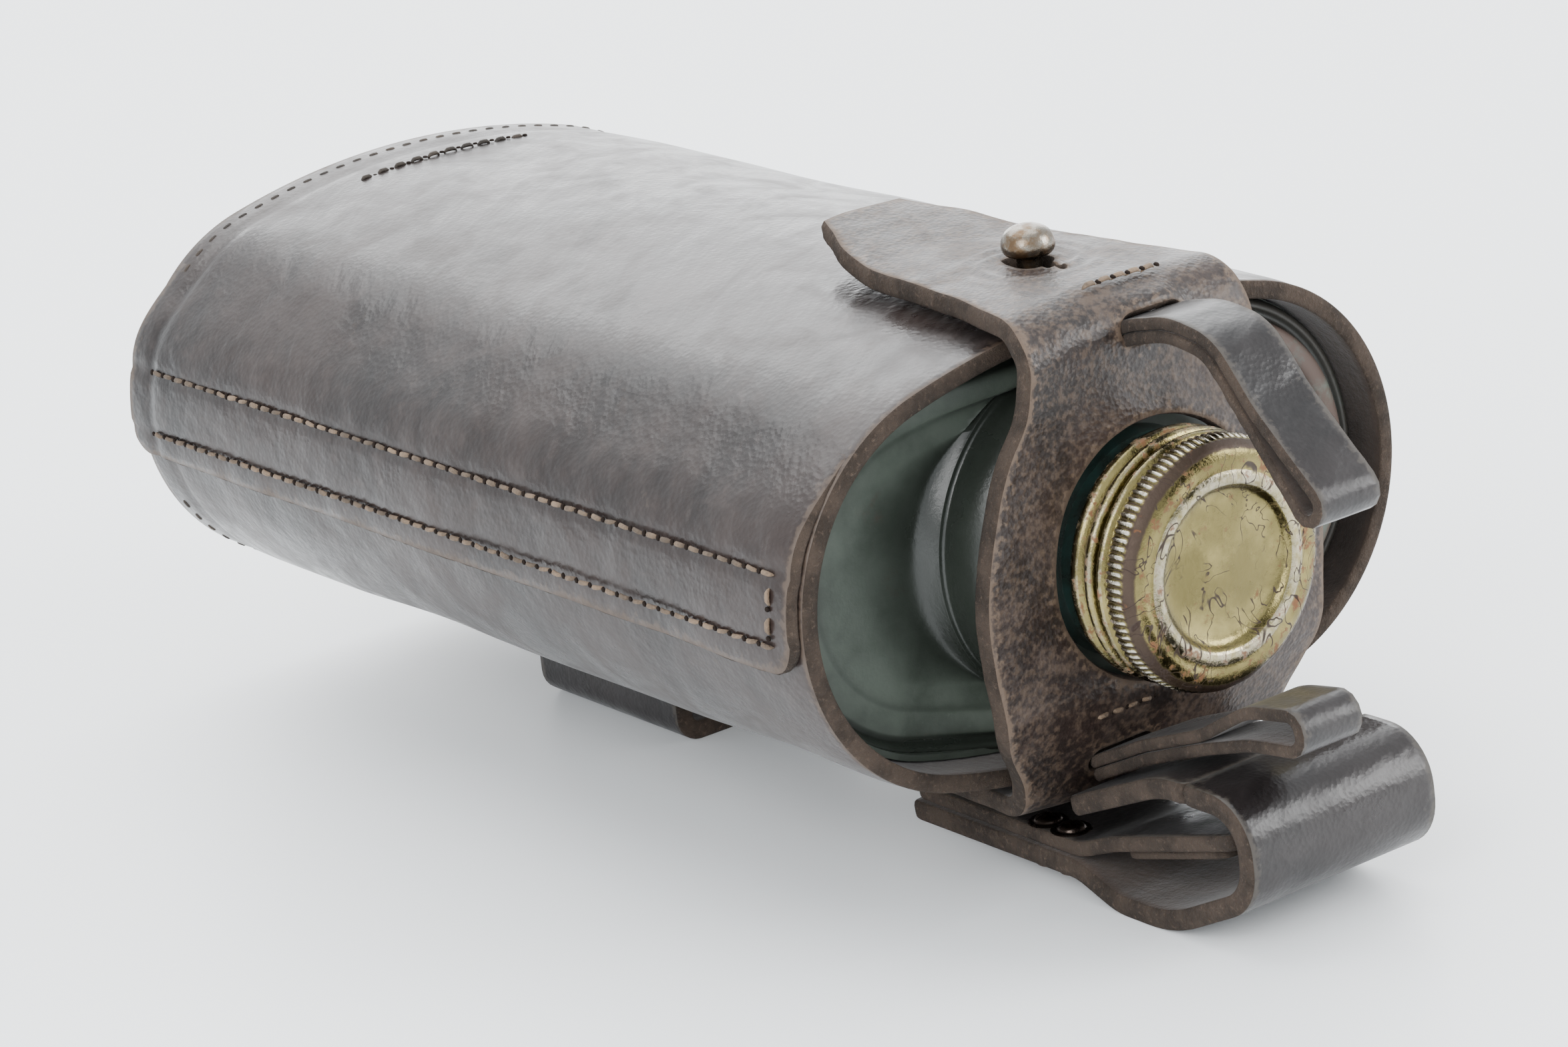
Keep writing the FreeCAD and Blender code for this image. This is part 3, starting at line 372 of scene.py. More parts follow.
def thread_finish(name, tone):
    """Waxed linen thread: pale, dirty in places, with its twist just showing."""
    finish = Finish(name)
    dirt = finish.noise(9.0, 4.0, 0.6)
    twist = finish.noise(0.45, 2.0, 0.5)
    soiled = scaled(tone, 0.34)
    shade = finish.mix(finish.between(dirt + twist * 0.25, 0.48, 0.82), soiled, tone)
    finish.set(Base_Color=shade, Normal=finish.bump(twist, 0.25, 0.8), Roughness=0.72)
    return finish.material


def hole_shade_finish(name):
    """Painted shade for the mouths of the holes that the thread goes through."""
    finish = Finish(name)
    shade = finish.mix(finish.noise(0.8), (0.007, 0.005, 0.004), (0.020, 0.013, 0.010))
    finish.set(Base_Color=shade, Roughness=0.9, Specular_IOR_Level=0.1)
    return finish.material


def paint_finish(name, colours):
    """Old grey-green paint over tinplate, dusty, with rust coming through, and painted shade where
    the hollow mark is high.
    """
    finish = Finish(name)
    clouds = finish.noise(16.0, 5.0, 0.6)
    specks = finish.noise(1.1, 4.0, 0.7)
    blotches = finish.noise(24.0, 5.0, 0.65, distortion=0.5)
    hollow = finish.mark("hollow")
    browned = finish.mark("browned")
    light = [part * 1.8 + 0.006 for part in colours.paint]
    deep = scaled(colours.paint, 0.30)
    shade = finish.mix(finish.between(clouds, 0.34, 0.66), colours.paint, light)
    shade = finish.mix(finish.between(specks, 0.60, 0.72) * 0.5, shade, light)
    rust = finish.between(blotches + specks * 0.16 + browned * 0.22, 0.66, 0.78)
    shade = finish.mix(rust * 0.85, shade, (0.075, 0.042, 0.032))
    # Painted shade: darker paint in the gap along the case wall, in the bead's grooves and round the
    # boss's foot.
    shade = finish.mix(finish.between(hollow, 0.1, 1.0) * 0.9, shade, deep)
    rough = finish.between(clouds, 0.3, 0.7, 0.44, 0.58) + rust * 0.2
    finish.set(Base_Color=shade, Roughness=rough - hollow * 0.22)
    finish.set(Normal=finish.bump(specks + clouds, 0.18, 0.3))
    return finish.material


def collar_finish(name, colours):
    """Glossy dark paint on the collar round the neck."""
    finish = Finish(name)
    clouds = finish.noise(9.0, 4.0, 0.6)
    deep = scaled(colours.paint, 0.35)
    shade = finish.mix(finish.between(clouds, 0.4, 0.7), deep, (0.02, 0.045, 0.04))
    finish.set(Base_Color=shade, Roughness=0.26, Coat_Weight=0.3)
    finish.set(Normal=finish.bump(clouds, 0.2, 0.4))
    return finish.material


def cap_finish(name, colours):
    """Gold lacquer worn to bare tin on the ridges, spotted with rust and fine dark tracks."""
    finish = Finish(name)
    clouds = finish.noise(13.0, 4.0, 0.6)
    fleck = finish.noise(2.2, 6.0, 0.72)
    pits = finish.noise(0.7, 4.0, 0.6)
    wear = finish.mark("wear")
    skirt = finish.mark("skirt")
    face = finish.mark("face")
    hollow = finish.mark("hollow")
    rim_of_face = finish.mark("rim_of_face")
    tin = (0.62, 0.58, 0.49)
    dull = scaled(colours.lacquer, 0.50)
    shade = finish.mix(finish.between(clouds, 0.40, 0.70), dull, colours.lacquer)
    bare = finish.between(wear + fleck * 0.6, 0.66, 1.05)
    shade = finish.mix(bare * 0.9, shade, tin)
    dirt = finish.between(hollow + fleck * 0.9, 0.90, 1.35)
    shade = finish.mix(dirt * 0.93, shade, (0.038, 0.022, 0.017))
    spread = skirt * 0.07 - hollow * 0.12 + rim_of_face * 0.07 + clouds * 0.25
    rust = finish.between(fleck + spread, 0.74, 0.86)
    shade = finish.mix(rust * 0.9, shade, (0.17, 0.068, 0.026))
    tracks = finish.noise(9.0, 2.0, 0.5, distortion=2.2)
    line = finish.between(abs(tracks - 0.5), 0.006, 0.017, 1.0, 0.0)
    patchy = finish.between(finish.noise(6.5, 2.0, 0.5) + rim_of_face * 0.10, 0.46, 0.54)
    hair = line * patchy * finish.between(face, 0.2, 0.6)
    shade = finish.mix(hair * 0.95, shade, (0.022, 0.010, 0.006))
    rough = finish.between(fleck, 0.35, 0.7, 0.13, 0.32) + rust * 0.5 + hair * 0.4 + dirt * 0.3
    metal = 1.0 - rust * 0.75 - hair * 0.7
    finish.set(Base_Color=shade, Roughness=rough, Metallic=metal - dirt * 0.4)
    finish.set(Normal=finish.bump(pits + fleck, 0.12, 0.6))
    return finish.material


def nickel_finish(name, tone, stain):
    """Worn plated metal, darker and browner where hands have dulled it."""
    finish = Finish(name)
    clouds = finish.noise(3.0, 4.0, 0.6)
    pits = finish.noise(0.5, 3.0, 0.6)
    shade = finish.mix(finish.between(clouds, 0.42, 0.62), tone, stain)
    finish.set(Base_Color=shade, Metallic=1.0)
    finish.set(Roughness=finish.between(clouds, 0.3, 0.7, 0.16, 0.38))
    finish.set(Normal=finish.bump(pits, 0.1, 0.5))
    return finish.material


def rubber_finish(name):
    """Perished black rubber."""
    finish = Finish(name)
    shade = finish.mix(finish.noise(4.0), (0.02, 0.018, 0.016), (0.06, 0.05, 0.045))
    finish.set(Base_Color=shade, Roughness=0.8)
    return finish.material


def floor_finish(name):
    """The pale studio floor."""
    finish = Finish(name)
    shade = finish.mix(finish.noise(260.0, 2.0), (0.93, 0.955, 0.97), (0.96, 0.975, 0.985))
    finish.set(Base_Color=shade, Roughness=0.42, Specular_IOR_Level=0.35)
    return finish.material


FINISHES = {}


def make_finishes():
    """Makes every finish once, and remembers it under a short name."""
    colours = bpy.context.scene.flask_colours
    FINISHES["case_grain"] = grain_finish("case_grain", colours)
    FINISHES["strap_grain"] = grain_finish("strap_grain", colours, (0.66, 0.80, 0.92),
                                           gloss=0.33, bloom=0.5, grain=0.8)
    FINISHES["yoke_grain"] = grain_finish("yoke_grain", colours, (1.32, 1.28, 1.20), gloss=0.42,
                                          bloom=1.3, grain=0.75, pebbled=0.55)
    FINISHES["edge"] = edge_finish("cut_edge", colours)
    FINISHES["flesh"] = flesh_finish("flesh_side", colours)
    FINISHES["thread"] = thread_finish("waxed_thread", colours.thread)
    FINISHES["dark_thread"] = thread_finish("dark_thread", scaled(colours.thread, 0.22))
    FINISHES["awl_hole"] = hole_shade_finish("awl_hole")
    FINISHES["paint"] = paint_finish("bottle_paint", colours)
    FINISHES["collar"] = collar_finish("collar_paint", colours)
    FINISHES["cap"] = cap_finish("cap_lacquer", colours)
    FINISHES["stud"] = nickel_finish("stud_nickel", (0.22, 0.20, 0.17), (0.13, 0.085, 0.05))
    FINISHES["rivet"] = nickel_finish("rivet_iron", (0.13, 0.10, 0.085), (0.06, 0.045, 0.038))
    FINISHES["rubber"] = rubber_finish("seal_rubber")


# ---------------------------------------------------------------- shapes


class Track:
    """A bent strap seen from the side: straight runs joined by round bends."""

    def __init__(self, corners, radii):
        self.runs = []
        points = [Vector(corner) for corner in corners]
        start = points[0]
        for corner, after, radius in zip(points[1:-1], points[2:], radii):
            back = (start - corner).normalized()
            ahead = (after - corner).normalized()
            half = back.angle(ahead) / 2
            first = corner + back * (radius / math.tan(half))
            centre = corner + (back + ahead).normalized() * (radius / math.sin(half))
            turn = math.copysign(math.pi - 2 * half, ahead.cross(back))
            self.add_line(start, first)
            self.runs.append((radius * abs(turn), first, centre, turn))
            start = corner + ahead * (radius / math.tan(half))
        self.add_line(start, points[-1])
        self.length = sum(run[0] for run in self.runs)

    def add_line(self, start, stop):
        """Adds a straight run."""
        self.runs.append(((stop - start).length, start, (stop - start).normalized(), None))

    def at(self, distance):
        """The place and the direction of travel at a distance along the strap."""
        for number, (length, start, data, turn) in enumerate(self.runs):
            if distance <= length or number == len(self.runs) - 1:
                break
            distance -= length
        if turn is None:
            return start + data * distance, data
        swing = Matrix.Rotation(turn * distance / length, 2)
        arm = swing @ (start - data)
        along = Vector((-arm.y, arm.x)).normalized() * math.copysign(1.0, turn)
        return data + arm, along

    def find(self, place):
        """The distance along the strap that comes nearest to a place."""
        steps = 600
        marks = [self.length * step / steps for step in range(steps + 1)]
        return min(marks, key=lambda mark: (self.at(mark)[0] - Vector(place)).length)


def smooth(value, low, high):
    """0 below low, 1 above high, and a soft step between them."""
    share = min(1.0, max(0.0, (value - low) / (high - low)))
    return share * share * (3 - 2 * share)


def wander(x, y, z, size, seed=0.0):
    """Soft random height between about -1 and 1, with lumps of one size."""
    return noise.noise(Vector((x / size + seed, y / size - seed, z / size + 2 * seed)))


def curve_through(stations, mark):
    """A smooth curve through (mark, height) stations, for outlines."""
    if mark <= stations[0][0]:
        return stations[0][1]
    for number in range(len(stations) - 1):
        (left, low), (right, high) = stations[number], stations[number + 1]
        if mark <= right:
            before = stations[max(0, number - 1)]
            after = stations[min(len(stations) - 1, number + 2)]
            share = (mark - left) / (right - left)
            rise_in = (high - before[1]) / max(right - before[0], 1e-6) * (right - left)
            rise_out = (after[1] - low) / max(after[0] - left, 1e-6) * (right - left)
            square, cube = share ** 2, share ** 3
            return ((2 * cube - 3 * square + 1) * low + (cube - 2 * square + share) * rise_in
                    + (3 * square - 2 * cube) * high + (cube - square) * rise_out)
    return stations[-1][1]


def new_piece(name, points, faces, finishes, marks=None, groups=None):
    """Makes a smooth-shaded mesh object from points in metres."""
    mesh = bpy.data.meshes.new(name)
    mesh.from_pydata(points, [], faces)
    for finish in finishes:
        mesh.materials.append(FINISHES[finish])
    if groups:
        mesh.polygons.foreach_set("material_index", groups)
    for label, values in (marks or {}).items():
        mesh.attributes.new(label, "FLOAT", "POINT").data.foreach_set("value", values)
    mesh.polygons.foreach_set("use_smooth", [True] * len(mesh.polygons))
    mesh.validate()
    mesh.update()
    piece = bpy.data.objects.new(name, mesh)
    bpy.context.scene.collection.objects.link(piece)
    return piece


def leather_panel(name, length, half, cell, inside, place, leather, finishes, wrapped=False):
    """A panel of leather, cut from a fine grid and bent into shape.

    inside(s, w) is how far a spot lies outside the outline, negative within it.
    place(s, w, depth) puts a spot of the panel, that deep under the grain face, in space.
    """
    rows = max(2, round(length / cell)) + 1
    columns = max(2, round(2 * half / cell)) + (0 if wrapped else 1)
    across = 2 * half / (columns if wrapped else columns - 1)
    grid = [[(length * r / (rows - 1), across * c - half) for c in range(columns)]
            for r in range(rows)]
    quads = []
    for r in range(rows - 1):
        for c in range(columns if wrapped else columns - 1):
            following = (c + 1) % columns
            middle_s = (grid[r][c][0] + grid[r + 1][c][0]) / 2
            if inside(middle_s, grid[r][c][1] + across / 2) < 0:
                quads.append(((r, c), (r, following), (r + 1, following), (r + 1, c)))
    sides = {}
    for quad in quads:
        for one, other in zip(quad, quad[1:] + quad[:1]):
            sides.setdefault(frozenset((one, other)), []).append((one, other))
    border = [pairs[0] for pairs in sides.values() if len(pairs) == 1]
    spots = {key: grid[key[0]][key[1]] for quad in quads for key in quad}
    for key in {key for pair in border for key in pair}:
        spots[key] = pulled_to_line(inside, spots[key])
    numbers = {key: number for number, key in enumerate(spots)}
    top = [place(s, w, 0.0) for s, w in spots.values()]
    under = [place(s, w, leather) for s, w in spots.values()]
    points = top + under
    count = len(top)
    wear = [math.exp(min(0.0, inside(s, w)) / 2.2) for s, w in spots.values()] * 2
    faces = [[numbers[key] for key in quad] for quad in quads]
    groups = [0] * len(faces) + [1] * len(faces)
    faces += [[numbers[key] + count for key in reversed(quad)] for quad in quads]
    levels = ((0.10, 0.22), (0.32, 0.38), (0.68, 0.38), (0.90, 0.22))
    rim = {}
    for key in {key for pair in border for key in pair}:
        s, w = spots[key]
        out_s, out_w = slope_of(inside, s, w)
        ring = [numbers[key]]
        for depth, bulge in levels:
            ragged = bulge * (1 + 0.8 * wander(s, w, depth * 4, 1.7))
            points.append(place(s + out_s * ragged, w + out_w * ragged, depth * leather))
            ring.append(len(points) - 1)
            wear.append(1.0)
        ring.append(numbers[key] + count)
        rim[key] = ring
    for one, other in border:
        for level in range(len(levels) + 1):
            faces.append([rim[other][level], rim[one][level],
                          rim[one][level + 1], rim[other][level + 1]])
            groups.append(2)
    return new_piece(name, points, faces, finishes, {"wear": wear}, groups)


def slope_of(inside, s, w):
    """The unit direction in which a panel's outline lies farther off."""
    step = 0.05
    along = inside(s + step, w) - inside(s - step, w)
    across = inside(s, w + step) - inside(s, w - step)
    size = math.hypot(along, across) or 1.0
    return along / size, across / size


def pulled_to_line(inside, spot):
    """Moves a spot near the outline onto it."""
    s, w = spot
    for _ in range(3):
        out_s, out_w = slope_of(inside, s, w)
        gap = inside(s, w)
        s, w = s - out_s * gap, w - out_w * gap
    return s, w


def box_outline(length, half, corner=0.0, start=0.0):
    """Outline of a strip from start to length, with rounded corners."""
    def inside(s, w):
        along = abs(s - (length + start) / 2) - (length - start) / 2 + corner
        across = abs(w) - half + corner
        outer = math.hypot(max(along, 0.0), max(across, 0.0))
        return outer + min(max(along, across), 0.0) - corner
    return inside


def strap_place(track, side, middle=0.0, lift=0.0, ripple=0.25, arch=0.0, seed=0.0):
    """Bends a strip along a track seen from the side; side tells which way the grain faces."""
    def place(s, w, depth):
        spot, along = track.at(s)
        normal = Vector((-along.y, along.x)) * side
        waves = ripple * (wander(s, w, 0.0, 13.0, seed) + 0.5 * wander(s, w, 0.0, 5.0, seed))
        height = lift - depth + waves - arch * w * w * abs(normal.y)
        return at(middle + w, spot.x + normal.x * height, spot.y + normal.y * height)
    return place


def strap(name, track, half, leather, finishes, cell=1.3, corner=0.6, hole=None, **bends):
    """A plain strip of even width that follows a track."""
    outline = box_outline(track.length, half, corner)

    def inside(s, w):
        edge = outline(s, w)
        return max(edge, hole(s, w)) if hole else edge

    place = strap_place(track, **bends)
    return leather_panel(name, track.length, half + cell, cell, inside, place, leather, finishes)


def turns(steps):
    """Angles spread evenly round a circle."""
    return [math.tau * step / steps for step in range(steps)]


def skin_faces(levels, size, first=0):
    """Faces that join rings of points, numbered on from first."""
    faces = []
    for level in range(levels - 1):
        near, far = first + level * size, first + (level + 1) * size
        for step in range(size):
            following = (step + 1) % size
            faces.append([near + step, near + following, far + following, far + step])
    return faces


def lofted(name, rings, finishes, marks=None, closed=False):
    """Joins rings of points into a skin; closed fills the last ring."""
    points = [point for ring in rings for point in ring]
    size = len(rings[0])
    faces = skin_faces(len(rings), size)
    if closed:
        last = (len(rings) - 1) * size
        faces.append([last + step for step in range(size)])
    return new_piece(name, points, faces, finishes, marks)


def softened(profile, passes=2):
    """Cuts a profile's corners again and again until it runs round."""
    for _ in range(passes):
        rounder = [profile[0]]
        for first, second in zip(profile, profile[1:]):
            rounder.append(tuple(a * 0.75 + b * 0.25 for a, b in zip(first, second)))
            rounder.append(tuple(a * 0.25 + b * 0.75 for a, b in zip(first, second)))
        rounder.append(profile[-1])
        profile = rounder
    return profile


class Oval:
    """The case's section: two round sides joined by two flat crowns."""

    def __init__(self):
        sizes = sizes_of("flask_case")
        self.small = sizes.side_radius
        self.side = sizes.width / 2 - self.small
        half = sizes.depth / 2
        self.large = (self.side ** 2 + half ** 2 - self.small ** 2) / (2 * (half - self.small))
        self.drop = self.large - half
        turn = math.atan2(self.drop, self.side)
        self.arcs = [
            (-self.side, 0.0, self.small, math.pi, math.pi - turn),
            (0.0, -self.drop, self.large, math.pi - turn, turn),
            (self.side, 0.0, self.small, turn, -turn),
            (0.0, self.drop, self.large, -turn, turn - math.pi),
            (-self.side, 0.0, self.small, turn - math.pi, -math.pi),
        ]
        self.length = sum(radius * (start - stop) for _, _, radius, start, stop in self.arcs)

    def at(self, distance, out=0.0):
        """X, Z and the outward direction, going clockwise from the middle of the seam side."""
        distance %= self.length
        for number, (x, z, radius, start, stop) in enumerate(self.arcs):
            arc = radius * (start - stop)
            if distance <= arc or number == len(self.arcs) - 1:
                break
            distance -= arc
        angle = start - distance / radius
        reach = radius + out
        normal = (math.cos(angle), math.sin(angle))
        return x + reach * normal[0], z + reach * normal[1], normal


# ---------------------------------------------------------------- operators


def finish_piece(piece, slot, body, *nodes):
    """Says what a piece stands for and what it moves with; the slot is not used."""
    if nodes:
        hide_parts(*nodes)
    if body:
        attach(piece, body)


class FLASK_OT_finishes(bpy.types.Operator):
    """Makes the finishes and gives them to the parts that keep their own shape"""

    bl_idname = "flask.finishes"
    bl_label = "Finishes"

    def execute(self, context):
        make_finishes()
        kept = {
            "bottle_body": "paint", "bottle_base": "paint", "bottle_neck": "collar",
            "cap_seal": "rubber", "stud_plate": "stud", "strap_packing": "flesh",
            "rivet_burrs": "rivet", "root_rivets": "rivet",
        }
        for node, finish in kept.items():
            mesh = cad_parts[node].data
            mesh.materials.clear()
            mesh.materials.append(FINISHES[finish])
        return {"FINISHED"}


class FLASK_OT_case(bpy.types.Operator):
    """Builds the leather tube, the flap of its side seam and its base"""

    bl_idname = "flask.case"
    bl_label = "Leather case"

    def execute(self, context):
        sizes = sizes_of("flask_case")
        oval = Oval()
        leathers = ["case_grain", "flesh", "edge"]
        base_crease = CASE_LENGTH - 7.4

        def dents(x, y, z):
            broad = wander(x, y, z, 46.0, 3.1) + 0.45 * wander(x, y * 0.6, z, 17.0, 1.7)
            held = smooth(y, 0.0, 26.0) * smooth(CASE_LENGTH - y, 0.0, 16.0)
            crease = math.exp(-((base_crease - y) / 1.2) ** 2)
            lip = math.exp(-(y / 3.0) ** 2)
            return min(0.0, sizes.dents * (broad * held - 0.4) - 0.4 * crease - 0.3 * lip)

        def wall(y, w, depth):
            x, z, normal = oval.at(w + oval.length / 2)
            out = -depth + dents(x, y, z) * (1 - 0.9 * depth / sizes.leather)
            return at(x + normal[0] * out, y, z + normal[1] * out)

        def ends(y, w):
            return max(-y, y - CASE_LENGTH)

        tube = leather_panel("case_tube", CASE_LENGTH, oval.length / 2, 1.5, ends, wall,
                             sizes.leather, leathers, wrapped=True)
        finish_piece(tube, "case_leather", "case", "case_body")

        low, high = -5.0, 38.0
        middle, half = (low + high) / 2, (high - low) / 2

        def flap(y, w, depth):
            """Stands out under the stitches, and slopes down into the wall above them."""
            x, z, normal = oval.at(w + middle)
            shown = smooth(high - (w + middle), 5.0, 25.0) ** 2
            row = sum(math.exp(-((w + middle - line) / 0.9) ** 2) for line in SEAM_ROWS)
            puffed = 0.12 * wander(y, w, 0.0, 6.0, 2.2) - 0.35 * row
            sunk = 0.02 + 2.0 * smooth(w + middle, high - 7.0, high)
            out = dents(x, y, z) + (sizes.seam_step + puffed) * shown - sunk * (1 - shown) ** 3
            out -= depth
            return at(x + normal[0] * out, y, z + normal[1] * out)

        outline = box_outline(CASE_LENGTH - 0.6, half, 4.5, start=0.8)
        seam = leather_panel("seam_flap", CASE_LENGTH, half + 1, 1.1, outline, flap,
                             sizes.seam_step - 0.2, leathers)
        finish_piece(seam, "case_leather", "case")
        self.make_base(oval, sizes)
        return {"FINISHED"}

    def make_base(self, oval, sizes):
        """The base panel, turned up into a flange inside the rim."""
        gap = sizes.leather + 0.1
        # How far inside the case's outline, and how far in from the base end.
        profile = softened([
            (gap, 1.2), (gap, 0.1), (gap + 2.2, 0.1), (gap + 2.5, 2.0), (gap + 2.6, 7.0),
            (gap + 4.6, 9.0), (gap + 10.0, 9.3), (29.0, 9.0),
        ])
        steps = 180
        rings = []
        for inset, depth in profile:
            ring = []
            for step in range(steps):
                x, z, _ = oval.at(oval.length * step / steps, -inset)
                sunk = 0.5 * wander(x, 0.0, z, 22.0, 4.4) * smooth(inset, 8.0, 16.0)
                ring.append(at(x, CASE_LENGTH - depth + sunk, z))
            rings.append(ring)
        wear = [0.8 * (1 - smooth(inset, gap + 2.0, gap + 3.2)) for inset, _ in profile]
        marks = {"wear": [mark for mark in wear for _ in range(steps)]}
        base = lofted("case_base_panel", rings, ["case_grain"], marks, closed=True)
        finish_piece(base, "case_leather", "case", "case_base")


STITCH_SIDES = 8


def stitch_shape(length, radius):
    """Rings of a single stitch along X: a short thread whose ends dip into the leather."""
    rings = []
    for share in (-1.0, -0.86, -0.5, 0.0, 0.5, 0.86, 1.0):
        swell = radius * (1 - 0.75 * abs(share) ** 5)
        dip = -radius * 1.5 * abs(share) ** 4
        rings.append([(share * length / 2, swell * math.cos(turn), dip + swell * math.sin(turn))
                      for turn in turns(STITCH_SIDES)])
    return rings


def sewn_rows(name, stitches, thread="thread"):
    """A row of stitches: each has a place, a direction and the way that the leather faces."""
    sizes = sizes_of("flask_sewing")
    stitch = stitch_shape(sizes.length, sizes.thread)
    # Each hole's mouth is a shallow near-black disc: painted shade where the leather has no real
    # hole.
    hole = [[(sizes.pitch / 2 + reach * math.cos(turn), 1.15 * reach * math.sin(turn), height)
             for turn in turns(STITCH_SIDES)]
            for reach, height in ((0.46, -0.25), (0.36, 0.01), (0.18, 0.05))]
    chance = random.Random(name)
    points, faces, groups = [], [], []
    for place, along, outward in stitches:
        outward = Vector(outward).normalized()
        straight = Vector(along).normalized()
        tilted = (straight + outward.cross(straight) * chance.uniform(-0.14, 0.14)).normalized()
        swell = chance.uniform(0.85, 1.15)
        for rings, ahead, group in ((stitch, tilted, 0), (hole, straight, 1)):
            across = outward.cross(ahead)
            first = len(points)
            for ring in rings:
                for x, y, z in ring:
                    spot = Vector(place) + ahead * x + across * y * swell + outward * z
                    points.append(at(*spot))
            faces += skin_faces(len(rings), STITCH_SIDES, first)
            faces.append([first + step for step in reversed(range(STITCH_SIDES))])
            faces.append([len(points) - STITCH_SIDES + step for step in range(STITCH_SIDES)])
            groups += [group] * (len(faces) - len(groups))
    return new_piece(name, points, faces, [thread, "awl_hole"], groups=groups)


class FLASK_OT_sewing(bpy.types.Operator):
    """Sews the case: the side seam, the ring round the base and the short tab row"""

    bl_idname = "flask.sewing"
    bl_label = "Sewing"

    def execute(self, context):
        case = sizes_of("flask_case")
        pitch = sizes_of("flask_sewing").pitch
        oval = Oval()
        proud = case.seam_step - 0.05
        first_y, last_y, end_y = 5.6, CASE_LENGTH - 5.4, 4.6
        count = int((last_y - first_y) / pitch)
        seam = []
        for line in SEAM_ROWS:
            x, z, normal = oval.at(line, proud)
            for step in range(count):
                seam.append(((x, first_y + step * pitch, z), (0, 1, 0), (normal[0], 0, normal[1])))
        for line in SEAM_END_ROWS:
            x, z, normal = oval.at(line, proud + 0.1)
            seam.append(((x, end_y, z), (-normal[1], 0, normal[0]), (normal[0], 0, normal[1])))

        # The ring leaves off where the side seam crosses it.
        ring_y = CASE_LENGTH - 3.0
        ring = []
        for step in range(int(oval.length / pitch)):
            x, z, normal = oval.at(step * pitch, -0.50)
            if x > -case.width / 2 + 5 or abs(z) > 17:
                along = (-normal[1], 0, normal[0])
                ring.append(((x, ring_y, z), along, (normal[0], 0, normal[1])))

        tab_y, tab_count = CASE_LENGTH - 14.0, 10
        tab = []
        for step in range(tab_count):
            mark = oval.length / 4 + (step - (tab_count - 1) / 2) * pitch + 0.4
            x, z, normal = oval.at(mark, -0.25)
            tab.append(((x, tab_y, z), (1, 0, 0), (normal[0], 0, normal[1])))

        for name, stitches, thread, node in (
            ("seam_stitches", seam, "thread", "side_seam_thread"),
            ("base_stitches", ring, "dark_thread", "base_seam_thread"),
            ("tab_stitches", tab, "dark_thread", "base_tab_thread"),
        ):
            finish_piece(sewn_rows(name, stitches, thread), "stitching", "case", node)
        return {"FINISHED"}


# Each strap from the side: Y from the mouth back and Z up, in millimetres, then its bends' radii.
YOKE_TRACK = Track(
    [(24.0, -40.1), (-4.2, -40.1), (-11.3, -22.6), (-11.3, 41.2), (14.0, 41.2),
     (34.0, 40.8), (54.5, 43.6)],
    [8.2, 19.2, 8.7, 90.0, 60.0],
)
FRONT_LOOP_TRACK = Track(
    [(-8.6, 33.5), (-13.0, 34.9), (-20.5, 36.5), (-29.4, 35.1), (-36.4, 26.5), (-47.9, 12.5),
     (-50.2, 14.8), (-36.7, 26.8), (-29.6, 35.3), (-20.5, 36.7), (-13.0, 35.1), (-8.6, 33.7)],
    [12.0, 16.0, 9.0, 30.0, 1.4, 1.4, 30.0, 9.2, 16.2, 12.0],
)
REAR_LOOP_TRACK = Track(
    [(-7.6, -32.5), (-20, -26.8), (-34, -21.8), (-44, -18.9), (-54.0, -17.6),
     (-54.0, -14.0), (-44, -15.6), (-34, -21.6), (-20, -26.6), (-7.6, -32.3)],
    [40.0, 30.0, 30.0, 1.6, 1.6, 14.0, 14.0, 40.0],
)
BELT_TRACK = Track(
    [(32.0, -49.0), (-7.0, -49.0), (-16.0, -52.2), (-29.0, -52.2), (-48.4, -43.0),
     (-47.6, -27.0), (-34.0, -27.0)],
    [8.0, 14.0, 26.0, 9.0, 8.5],
)
FLAP_TRACK = Track([(-34.0, -27.0), (-28.0, -27.0), (-6.6, -35.7)], [20.0])
LINING_TRACK = Track(
    [(31.6, LINING_TOP), (-7.5, LINING_TOP), (-15.5, -40.1), (-43.0, -32.9)],
    [8.0, 30.0],
)
PATCH_TRACK = Track([(-16.5, -42.35), (-26.0, -39.85), (-40.0, -36.2)], [90.0])


